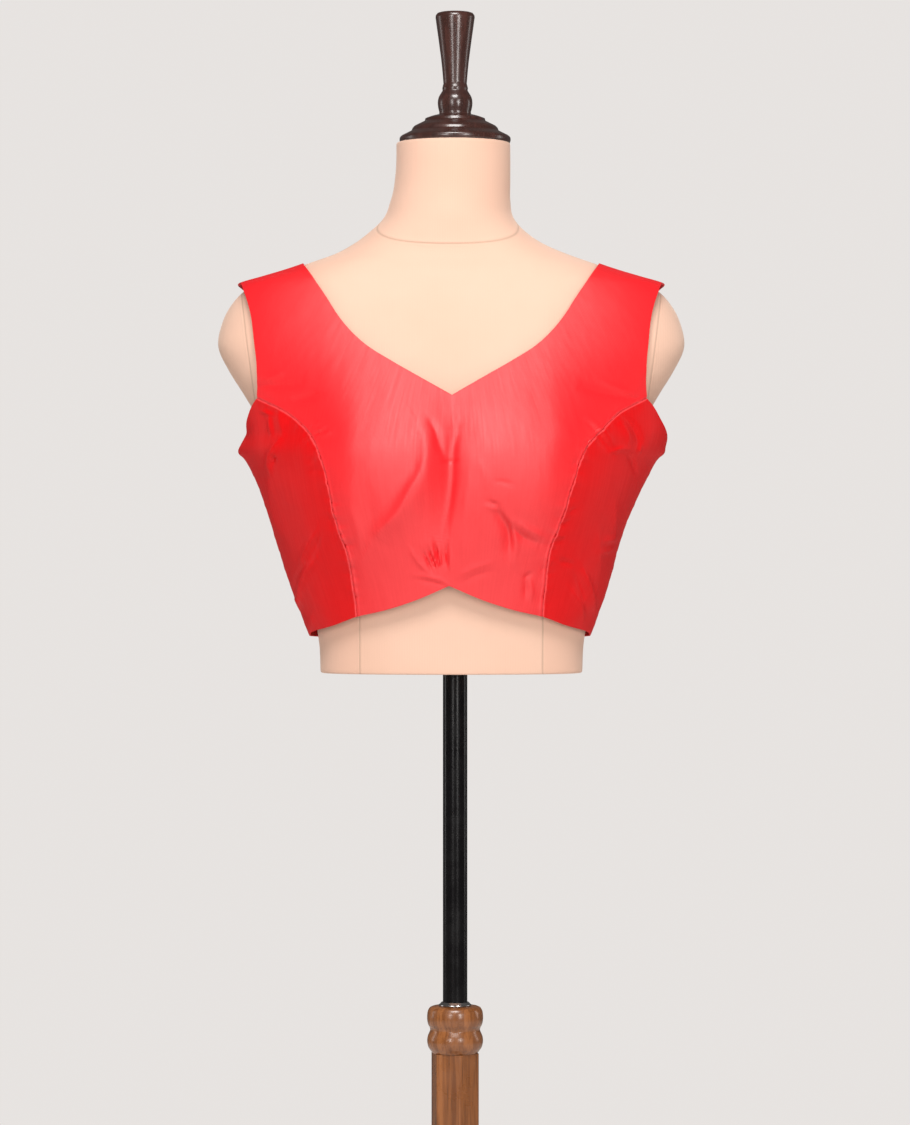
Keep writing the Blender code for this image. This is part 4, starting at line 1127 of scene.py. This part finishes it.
def makeBacks():
    rib = spacedCurve(backRib(), blouse["rowsLow"])
    underArm = patch(
        spacedCurve(hemBack(90.0, blouse["backRibFoot"]), blouse["underarmColumns"]),
        spacedCurve(armholeUnder(), blouse["underarmColumns"]),
        spacedCurve(sideSeam(), blouse["rowsLow"]),
        rib,
    )
    inner = joined(rib, spacedCurve(armholeBack(), blouse["rowsHigh"]))
    neck = spacedCurve(necklineBack(), blouse["neckColumns"])
    top = joined(neck, shoulderSeam(blouse["strapColumns"])[::-1])
    hem = spacedCurve(hemBack(blouse["backRibFoot"], 180.0)[::-1], len(top) - 1)
    middle = spacedCurve(centreBack(), len(inner) - 1)
    main = patch(hem, top, middle, inner, reach=blouse["edgeReach"])[:, ::-1]
    seams = [(sideSeam(), "side"), (centreBack(), "centreBack")]
    return makeBothSides(("back_panel_right", "back_panel_left"), [underArm, main], backFolds, seams)


underlap = {"sewn": 9.0, "under": 20.0, "wall": 1.1, "shorter": 1.0, "columns": 20, "rows": 130}


def makeUnderlap():
    # the strip that closes the back opening from inside
    across = np.linspace(underlap["sewn"], -underlap["under"], underlap["columns"])
    low, high = blouse["backHem"] + underlap["shorter"], blouse["backNeck"] - underlap["shorter"]
    heights = np.linspace(low, high, underlap["rows"])
    grid = cloth.back(across[None, :], heights[:, None])
    under = blouse["wall"] + blouse["seamGap"]
    return clothPiece("opening_strip", [grid], backFolds, [], shadedSideSatin, under, underlap["wall"])


frontPiece = makeFront()
print("blouse: front made")
sidePieces = makeSideFronts()
backPieces = makeBacks()
strip = makeUnderlap()
print("blouse: side panels, backs and opening strip made")

# piece, the node that it stands for, width and length of the flat cut, its flat area, how it is held
clothPieces = (
    (frontPiece, "front", (0.39, 0.31), 0.073, "hung"),
    (sidePieces[0], "side_front_right", (0.15, 0.24), 0.024, "stretched"),
    (sidePieces[1], "side_front_left", (0.15, 0.24), 0.024, "stretched"),
    (backPieces[0], "back_right", (0.26, 0.36), 0.064, "hung"),
    (backPieces[1], "back_left", (0.26, 0.36), 0.064, "hung"),
    (strip, "back_underlap", (0.03, 0.26), 0.0075, "stretched"),
)


# The dress form, its cover and the seams of the cover

dressForm = {
    "bottom": 904.0,
    "top": 1380.6,
    "bottomRadius": 95.0,  # of a circle about as large as the form's underside
    "topRadius": 51.0,
    "round": 1.6,
    "columns": 176,
    "bodyRows": (1228.0, 96),  # rows up to this height, and how many
    "shoulderRows": (1231.0, 1310.0, 46),
    "neckRows": (1314.0, 18),
    "socketRadius": 11.4,
    "socketDepth": 60.0,
}


def roundedEnd(ring, halfWidth, height, way):
    # the wall's end ring in steps that draw in, for a small round
    middle = ring[:-1].mean(axis=0)
    steps = []
    for turn in np.radians([0.0, 30.0, 60.0, 90.0]):
        inwards = dressForm["round"] * (1 - math.sin(turn))
        step = ring.copy()
        step[:, :2] -= (ring - middle)[:, :2] * inwards / halfWidth
        step[:, 2] = height + way * dressForm["round"] * (1 - math.cos(turn))
        steps.append(step)
    return steps


def makeForm(made):
    bottom, top = dressForm["bottom"], dressForm["top"]
    body = np.linspace(bottom, *dressForm["bodyRows"])
    shoulders = np.linspace(*dressForm["shoulderRows"])
    neck = np.linspace(dressForm["neckRows"][0], top, dressForm["neckRows"][1])
    heights = np.concatenate([body, shoulders, neck])
    degrees = np.linspace(0.0, 360.0, dressForm["columns"] + 1)
    wall = form.around(degrees[None, :], heights[:, None])
    wall[..., 0] += sway(wall[..., 2], 2)
    wall[:, -1] = wall[:, 0]
    low = roundedEnd(wall[0], dressForm["bottomRadius"], bottom, 1)
    high = roundedEnd(wall[-1], dressForm["topRadius"], top, -1)
    rings = np.concatenate([low, wall[1:-1], high[::-1]])
    bm = bmesh.new()
    gridInto(bm, rings * mm)
    bmesh.ops.remove_doubles(bm, verts=bm.verts, dist=1e-6)
    ends = [e for e in bm.edges if e.is_boundary]
    halfway = (bottom + top) / 2 * mm
    topLoop = [e for e in ends if e.verts[0].co.z > halfway]
    bottomLoop = [e for e in ends if e.verts[0].co.z < halfway]
    bmesh.ops.edgeloop_fill(bm, edges=topLoop)
    # the socket for the pole goes up from the underside
    socketRadius = dressForm["socketRadius"] * mm
    hole = bmesh.ops.create_circle(bm, segments=dressForm["columns"], radius=socketRadius)
    bmesh.ops.translate(bm, verts=hole["verts"], vec=(0, 0, bottom * mm))
    holeVerts = set(hole["verts"])
    rim = [e for e in bm.edges if e.verts[0] in holeVerts and e.verts[1] in holeVerts]
    bmesh.ops.bridge_loops(bm, edges=bottomLoop + rim)
    risen = bmesh.ops.extrude_edge_only(bm, edges=rim)
    verts = [g for g in risen["geom"] if isinstance(g, bmesh.types.BMVert)]
    bmesh.ops.translate(bm, verts=verts, vec=(0, 0, dressForm["socketDepth"] * mm))
    cap = [g for g in risen["geom"] if isinstance(g, bmesh.types.BMEdge)]
    bmesh.ops.edgeloop_fill(bm, edges=[e for e in cap if e.is_boundary])
    bmesh.ops.recalc_face_normals(bm, faces=bm.faces)
    return addPiece(bm, "dress_form_cover", made, 50.0)


# Colours of the cover, and its seams in metres
cover = {
    "colour": (0.77, 0.50, 0.380),
    "deep": (0.73, 0.46, 0.34),
    "sidePanel": (0.74, 0.45, 0.335),
    "sidePanelShows": 0.6,
    "seam": (0.50, 0.32, 0.23),
    "seamShows": 0.7,
    "seamWidth": 0.0007,
    "seamRelief": 0.5,
    "roughness": 0.72,
    "knit": {"Threads per metre": 900.0, "Long float": 0.6},
    "knitRelief": 0.06,
    "mottle": 9.0,
    "lean": 0.0034,
    "neckSeamTilt": 0.46,
    "neckSeamHeight": 1.3115,
    "armSeam": (0.178, 0.137, 1.169),  # across at a height, lean, that height
    "panelSeam": 0.081,
    "panelSeamTop": 1.15,
    "sideSeamAt": 0.001,
    "backSeamFrom": 0.02,
}


def coverSeams(tree, places):
    # masks of all seams and of the outer panels, and the height of the seams
    split = addNode(tree, "ShaderNodeSeparateXYZ", (-1200, 0))
    tree.links.new(places, split.inputs[0])
    x, y, z = split.outputs
    x = mathNode(tree, "ADD", x, cover["lean"])
    across = mathNode(tree, "ABSOLUTE", x)
    neckSeam = mathNode(tree, "MULTIPLY_ADD", y, cover["neckSeamTilt"], cover["neckSeamHeight"])
    neck = mathNode(tree, "SUBTRACT", z, neckSeam)
    at, lean, level = cover["armSeam"]
    armSeam = mathNode(tree, "MULTIPLY_ADD", mathNode(tree, "SUBTRACT", z, level), lean, at)
    arm = mathNode(tree, "SUBTRACT", across, armSeam)
    panel = mathNode(tree, "SUBTRACT", across, cover["panelSeam"])
    side = mathNode(tree, "ADD", y, cover["sideSeamAt"])
    low = mathNode(tree, "LESS_THAN", z, cover["panelSeamTop"])
    inside = mathNode(tree, "LESS_THAN", arm, 0.0)
    behind = mathNode(tree, "GREATER_THAN", y, cover["backSeamFrom"])
    belowNeck = mathNode(tree, "LESS_THAN", neck, 0.0)
    seams = (
        (neck, None),
        (arm, None),
        (panel, low),
        (side, mathNode(tree, "MULTIPLY", low, inside)),
        (across, mathNode(tree, "MULTIPLY", behind, belowNeck)),
    )
    lines, raised = 0.0, 0.0
    for distance, mask in seams:
        line, height = placeSeam(tree, distance, cover["seamWidth"])
        if mask is not None:
            line = mathNode(tree, "MULTIPLY", line, mask)
            height = mathNode(tree, "MULTIPLY", height, mask)
        lines = mathNode(tree, "MAXIMUM", lines, line)
        raised = mathNode(tree, "ADD", raised, height)
    outer = mathNode(tree, "MULTIPLY", spanNode(tree, panel, 0.0, 0.002), low)
    return lines, raised, outer


def makeCover():
    made, tree, shader = newMaterial(
        "beige stretch cover",
        {
            "Sheen Weight": 0.35,
            "Sheen Roughness": 0.5,
            "Sheen Tint": (1.0, 0.9, 0.8, 1.0),
            "Specular IOR Level": 0.3,
        },
    )
    places = objectPlaces(tree)
    lines, raised, outer = coverSeams(tree, places)
    knit = placeGroup(tree, "weave", places, cover["knit"])
    mottled = spanNode(tree, noiseNode(tree, places, cover["mottle"], 3.0), 0.35, 0.75)
    ground = mixColour(tree, mottled, cover["colour"], cover["deep"])
    outer = mathNode(tree, "MULTIPLY", outer, cover["sidePanelShows"])
    ground = mixColour(tree, outer, ground, cover["sidePanel"])
    lines = mathNode(tree, "MULTIPLY", lines, cover["seamShows"])
    ground = mixColour(tree, lines, ground, cover["seam"])
    tree.links.new(ground, shader.inputs["Base Color"])
    low, high = cover["roughness"] - 0.05, cover["roughness"] + 0.06
    roughnessFrom(tree, shader, knit.outputs["Patches"], low, high)
    raised = mathNode(tree, "MULTIPLY", raised, cover["seamRelief"])
    relief = mathNode(tree, "MULTIPLY_ADD", knit.outputs["Height"], cover["knitRelief"], raised)
    bumpInto(tree, shader, relief, 0.0007, 0.7)
    return made


coverPiece = makeForm(makeCover())
print("dress form made")


# Turned and round pieces of the knob and the stand


def softProfile(points, corners=(), fineness=5):
    # the outline through the points, smooth but for the corners named by their places in it
    points = np.array([(r, 0.0, z) for r, z in points])
    stops = sorted({0, len(points) - 1, *corners})
    runs = []
    for start, end in zip(stops, stops[1:]):
        run = points[start : end + 1]
        runs.append(run if len(run) == 2 else spacedCurve(run, fineness * (len(run) - 1)))
    return joined(*runs)


def turnedPiece(name, outline, made, steps=96, hollow=False):
    bm = bmesh.new()
    points = [bm.verts.new(p * mm) for p in outline]
    edges = [bm.edges.new(pair) for pair in zip(points, points[1:])]
    if hollow:
        edges.append(bm.edges.new((points[-1], points[0])))
    bmesh.ops.spin(
        bm,
        geom=points + edges,
        cent=(0, 0, 0),
        axis=(0, 0, 1),
        angle=math.tau,
        steps=steps,
        use_merge=True,
    )
    bmesh.ops.remove_doubles(bm, verts=bm.verts, dist=1e-6)
    bmesh.ops.recalc_face_normals(bm, faces=bm.faces)
    return addPiece(bm, name, made, 38.0)


darkWood = {
    "colour": (0.032, 0.011, 0.008),
    "light": (0.062, 0.022, 0.017),
    "roughness": 0.24,
    "coat": 0.6,
    "coatRoughness": 0.2,
}
paleWood = {
    "colour": (0.16, 0.050, 0.012),
    "light": (0.31, 0.11, 0.032),
    "roughness": 0.26,
    "coat": 0.45,
    "coatRoughness": 0.18,
}


def makeWood(name, wood, lying=False):
    made, tree, shader = newMaterial(
        name,
        {
            "Coat Weight": wood["coat"],
            "Coat Roughness": wood["coatRoughness"],
            "Specular IOR Level": 0.5,
        },
    )
    places = objectPlaces(tree)
    if lying:
        # the grain runs across a turned disc, not up it
        across = {"Rotation": (0.0, math.pi / 2, 0.0)}
        turned = addNode(tree, "ShaderNodeMapping", (-1200, 0), values=across)
        tree.links.new(places, turned.inputs["Vector"])
        places = turned.outputs[0]
    grain = placeGroup(tree, "grain", places, {"Fineness": 1.0})
    wear = placeGroup(tree, "wear", places, {"Scale": 1.0})
    ground = mixColour(tree, grain.outputs["Figure"], wood["colour"], wood["light"])
    pores = mathNode(tree, "MULTIPLY", grain.outputs["Pores"], 0.55)
    dark = tuple(0.45 * c for c in wood["colour"])
    ground = mixColour(tree, pores, ground, dark)
    tree.links.new(ground, shader.inputs["Base Color"])
    roughnessFrom(tree, shader, wear.outputs["Smudges"], wood["roughness"], wood["roughness"] + 0.16)
    relief = mathNode(tree, "MULTIPLY", grain.outputs["Pores"], -1.0)
    bumpInto(tree, shader, relief, 0.0001, 0.4)
    return made


blackGloss = {
    "colour": (0.0035, 0.003, 0.0035),
    "dust": (0.022, 0.021, 0.021),
    "dustShows": 0.6,
    "roughness": 0.20,
}


def makeBlackSteel():
    made, tree, shader = newMaterial(
        "black steel gloss", {"Coat Weight": 0.1, "Coat Roughness": 0.15, "Specular IOR Level": 0.22}
    )
    places = objectPlaces(tree)
    wear = placeGroup(tree, "wear", places, {"Scale": 1.3})
    dust = mathNode(tree, "MULTIPLY", wear.outputs["Specks"], blackGloss["dustShows"])
    ground = mixColour(tree, dust, blackGloss["colour"], blackGloss["dust"])
    tree.links.new(ground, shader.inputs["Base Color"])
    low, high = blackGloss["roughness"], blackGloss["roughness"] + 0.14
    roughnessFrom(tree, shader, wear.outputs["Smudges"], low, high)
    fine = noiseNode(tree, places, 260.0, 2.0)
    bumpInto(tree, shader, fine, 0.00012, 0.12)
    return made


polished = {
    "colour": (0.56, 0.55, 0.55),
    "dull": (0.38, 0.37, 0.37),
    "roughness": (0.16, 0.32),  # where it is clean, and where it is handled
    "latheMarks": (40.0, 40.0, 5200.0),
}


def makeBrightSteel():
    made, tree, shader = newMaterial("polished steel ring", {"Metallic": 1.0, "Anisotropic": 0.3})
    places = objectPlaces(tree)
    wear = placeGroup(tree, "wear", places, {"Scale": 3.0})
    tone = mathNode(tree, "MULTIPLY", wear.outputs["Smudges"], 0.5)
    ground = mixColour(tree, tone, polished["colour"], polished["dull"])
    tree.links.new(ground, shader.inputs["Base Color"])
    roughnessFrom(tree, shader, wear.outputs["Smudges"], *polished["roughness"])
    lathe = noiseNode(tree, scaledVector(tree, places, polished["latheMarks"]), 1.0, 2.0)
    bumpInto(tree, shader, lathe, 0.00004, 0.35)
    return made


darkVarnish = makeWood("dark varnished wood", darkWood)
varnish = makeWood("varnished wood", paleWood)
baseVarnish = makeWood("varnished wood lying", paleWood, lying=True)
blackSteel = makeBlackSteel()
brightSteel = makeBrightSteel()

knob = {
    "foot": 1380.9,
    "outline": (
        (0.0, 0.0), (49.3, 0.0), (49.8, 1.2), (49.6, 4.6), (47.8, 6.2), (43.0, 8.6), (39.2, 10.6),
        (38.4, 12.8), (36.6, 14.8), (31.0, 17.6), (27.4, 19.4), (26.8, 21.6), (22.0, 23.4),
        (14.4, 25.4), (14.2, 27.4), (15.2, 31.4), (15.6, 35.9), (14.8, 40.6), (12.2, 45.2),
        (11.3, 46.7), (11.5, 49.0), (11.0, 51.2), (10.5, 53.0), (11.8, 68.0), (14.8, 92.0),
        (17.4, 111.0), (17.7, 113.6), (15.8, 116.4), (12.0, 117.2), (0.0, 117.4),
    ),
    "corners": (1, 4, 6, 8, 10, 11, 13, 14, 19, 21, 22),
}


def makeKnob():
    outline = softProfile(knob["outline"], knob["corners"])
    outline[:, 2] += knob["foot"]
    return turnedPiece("turned_knob", outline, darkVarnish)


stand = {
    "top": 604.0,
    "seat": 0.3,
    "poleRadius": 11.0,
    "poleBottom": 350.0,
    "poleEdge": 0.6,
    "boreRadius": 11.4,
    "screwHeight": 573.2,
}


def makePole():
    top = dressForm["bottom"] + dressForm["socketDepth"] - stand["seat"]
    radius, low, edge = stand["poleRadius"], stand["poleBottom"], stand["poleEdge"]
    foot = [(0.0, 0.0, low), (radius - edge, 0.0, low), (radius, 0.0, low + edge)]
    head = [(radius, 0.0, top - edge), (radius - edge, 0.0, top), (0.0, 0.0, top)]
    return turnedPiece("pole_tube", np.array(foot + head), blackSteel, 72)


# Outside of the ring round the pole, from its foot to its top
ringOutside = ((14.4, 0.0), (14.7, 0.4), (14.6, 1.1), (13.4, 2.0), (12.7, 2.9), (12.2, 3.3))


def makeFerrule():
    foot, bore = stand["top"] + stand["seat"], stand["boreRadius"]
    points = [(bore, 0.3), (bore + 0.3, 0.0), *ringOutside, (bore, ringOutside[-1][1])]
    outline = np.array([(r, 0.0, foot + z) for r, z in points])
    return turnedPiece("pole_ring", outline, brightSteel, 72, hollow=True)


collar = {
    "low": 562.0,
    "height": 42.0,
    "outline": (
        (20.6, 0.0), (21.6, 1.6), (23.6, 4.4), (24.8, 8.0), (25.1, 11.2), (24.7, 14.6), (23.2, 18.4),
        (22.3, 20.4), (22.7, 22.4), (24.2, 25.4), (25.0, 29.0), (25.1, 34.0), (24.4, 38.0),
        (22.6, 40.8), (20.0, 42.0),
    ),
    "corners": (7,),
}


def makeCollar():
    # the turned top of the column, left whole where the screw goes through behind
    outline = softProfile(collar["outline"], collar["corners"])
    bore = stand["boreRadius"]
    outline = np.concatenate([[(bore, 0.0, 0.0)], outline, [(bore, 0.0, collar["height"])]])
    outline[:, 2] += collar["low"]
    return turnedPiece("column_top", outline, varnish, 96, hollow=True)


screw = {
    "outline": (
        (0.0, 11.3), (3.0, 11.3), (3.0, 33.0), (8.5, 33.0), (10.5, 34.2), (11.0, 37.0), (10.2, 40.0),
        (7.0, 41.4), (0.0, 41.8),
    ),
    "corners": (1, 2, 3),
    "flutes": 12,
    "fluteDepth": 0.07,
    "flutesFrom": 33.5,
    "flutesOutside": 6.0,
}


def makeScrew():
    outline = softProfile(screw["outline"], screw["corners"], 4)
    piece = turnedPiece("clamp_knob", outline, blackSteel, 96)
    bm = bmesh.new()
    bm.from_mesh(piece.data)
    for vert in bm.verts:
        out = math.hypot(vert.co.x, vert.co.y)
        if vert.co.z > screw["flutesFrom"] * mm and out > screw["flutesOutside"] * mm:
            turn = math.atan2(vert.co.y, vert.co.x)
            grip = 1.0 - screw["fluteDepth"] * max(0.0, math.cos(turn * screw["flutes"])) ** 3
            vert.co.x *= grip
            vert.co.y *= grip
    # it lies level and points to the back
    level = Matrix.Rotation(math.radians(-90.0), 3, "X")
    bmesh.ops.rotate(bm, verts=bm.verts, cent=(0, 0, 0), matrix=level)
    bmesh.ops.translate(bm, verts=bm.verts, vec=(0, 0, stand["screwHeight"] * mm))
    bm.to_mesh(piece.data)
    bm.free()
    return piece


base = {
    "outline": (
        (0.0, 0.0), (173.5, 0.0), (175.0, 1.5), (175.0, 14.0), (172.5, 19.0), (167.0, 22.0),
        (161.0, 22.6), (159.0, 25.0), (120.0, 27.0), (80.0, 30.0), (52.0, 35.0), (40.0, 41.0),
        (36.5, 46.0), (38.0, 49.0), (39.0, 53.0), (37.5, 58.0), (33.5, 61.0), (28.0, 62.0), (0.0, 62.0),
    ),
    "corners": (1, 2, 3, 6, 7, 12, 17),
}


def makeBase():
    return turnedPiece("round_base", softProfile(base["outline"], base["corners"], 6), baseVarnish, 144)


# piece, CAD node, body, material slot
fittings = (
    (makeKnob(), "neck_knob", "form", "dark_wood"),
    (makePole(), "pole", "mast", "black_steel"),
    (makeFerrule(), "pole_ferrule", "stand", "bright_steel"),
    (makeCollar(), "column_collar", "stand", "varnished_wood"),
    (makeScrew(), "clamp_screw", "stand", "black_steel"),
    (makeBase(), "base", "stand", "varnished_wood"),
    (coverPiece, "dress_form", "form", "form_cover"),
)
for piece, node, body, slot in fittings:
    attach(piece, body)
    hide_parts(node)
for piece, node, flat, area, held in clothPieces:
    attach(piece, "form")
    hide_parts(node)
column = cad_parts["column"]
column.data.materials.clear()
column.data.materials.append(varnish)
print("stand made")


# Floor, light and camera

studio = {
    "floorRadius": 3.1,
    "floorColour": (0.80, 0.77, 0.74),
    "backdrop": (0.80, 0.77, 0.75),  # what the camera sees behind the floor's edge
    "ambient": (0.10, 0.097, 0.094),
    # name, place, looks at, width, height, watts, whether it shows in gloss
    "lamps": (
        ("strip light left", (-1.3, -3.6, 1.62), (0.0, 0.0, 1.1), 0.6, 1.7, 35.0, True),
        ("strip light right", (1.45, -3.55, 1.62), (0.0, 0.0, 1.1), 0.6, 1.7, 48.0, True),
        ("soft light above", (-0.1, -2.1, 3.4), (0.0, 0.0, 1.15), 1.4, 1.0, 84.0, True),
        ("side fill left", (-2.9, -0.9, 1.3), (0.0, 0.0, 1.1), 1.4, 1.4, 11.0, False),
        ("side fill right", (2.9, -0.9, 1.3), (0.0, 0.0, 1.1), 1.4, 1.4, 11.0, False),
        ("soft light behind", (0.0, 2.6, 3.3), (0.0, 0.0, 1.0), 2.0, 1.0, 42.0, False),
        ("side strip left", (-2.7, 0.75, 1.25), (0.0, 0.0, 1.1), 0.5, 1.6, 6.0, True),
        ("side strip right", (2.7, 0.75, 1.25), (0.0, 0.0, 1.1), 0.5, 1.6, 6.0, True),
    ),
    "lightColour": (1.0, 0.98, 0.96),
    "camera": (-0.0001, -3.85, 1.003),
    "lens": 136.9,
}


def makeStudio():
    bm = bmesh.new()
    bmesh.ops.create_circle(bm, cap_ends=True, segments=128, radius=studio["floorRadius"])
    paint, tree, shader = newMaterial("pale floor", {"Roughness": 0.9, "Specular IOR Level": 0.2})
    places = addNode(tree, "ShaderNodeTexCoord", (-900, 0)).outputs["Object"]
    pale = studio["floorColour"]
    tone = mixColour(tree, noiseNode(tree, places, 3.0), pale, tuple(0.97 * c for c in pale))
    tree.links.new(tone, shader.inputs["Base Color"])
    floor = addPiece(bm, "floor", paint)
    world = bpy.data.worlds.new("studio")
    world.use_nodes = True
    path = addNode(world.node_tree, "ShaderNodeLightPath", (-500, 0))
    seen = mixColour(world.node_tree, path.outputs["Is Camera Ray"], studio["ambient"], studio["backdrop"])
    world.node_tree.links.new(seen, world.node_tree.nodes["Background"].inputs["Color"])
    bpy.context.scene.world = world
    bpy.context.scene.view_settings.view_transform = "Standard"
    for name, place, target, width, height, watts, glossy in studio["lamps"]:
        light = bpy.data.lights.new(name, "AREA")
        light.shape = "RECTANGLE"
        light.size = width
        light.size_y = height
        light.energy = watts
        light.color = studio["lightColour"]
        lamp = bpy.data.objects.new(name, light)
        lamp.visible_glossy = glossy
        lamp.location = place
        lamp.rotation_euler = (Vector(target) - Vector(place)).to_track_quat("-Z", "Y").to_euler()
        bpy.context.scene.collection.objects.link(lamp)
    view = bpy.data.cameras.new("camera")
    view.lens = studio["lens"]
    view.sensor_width = 36.0
    camera = bpy.data.objects.new("camera", view)
    camera.location = studio["camera"]
    camera.rotation_euler = (math.radians(90.0), 0.0, 0.0)
    bpy.context.scene.collection.objects.link(camera)
    bpy.context.scene.camera = camera


makeStudio()
print("floor, light and camera made")
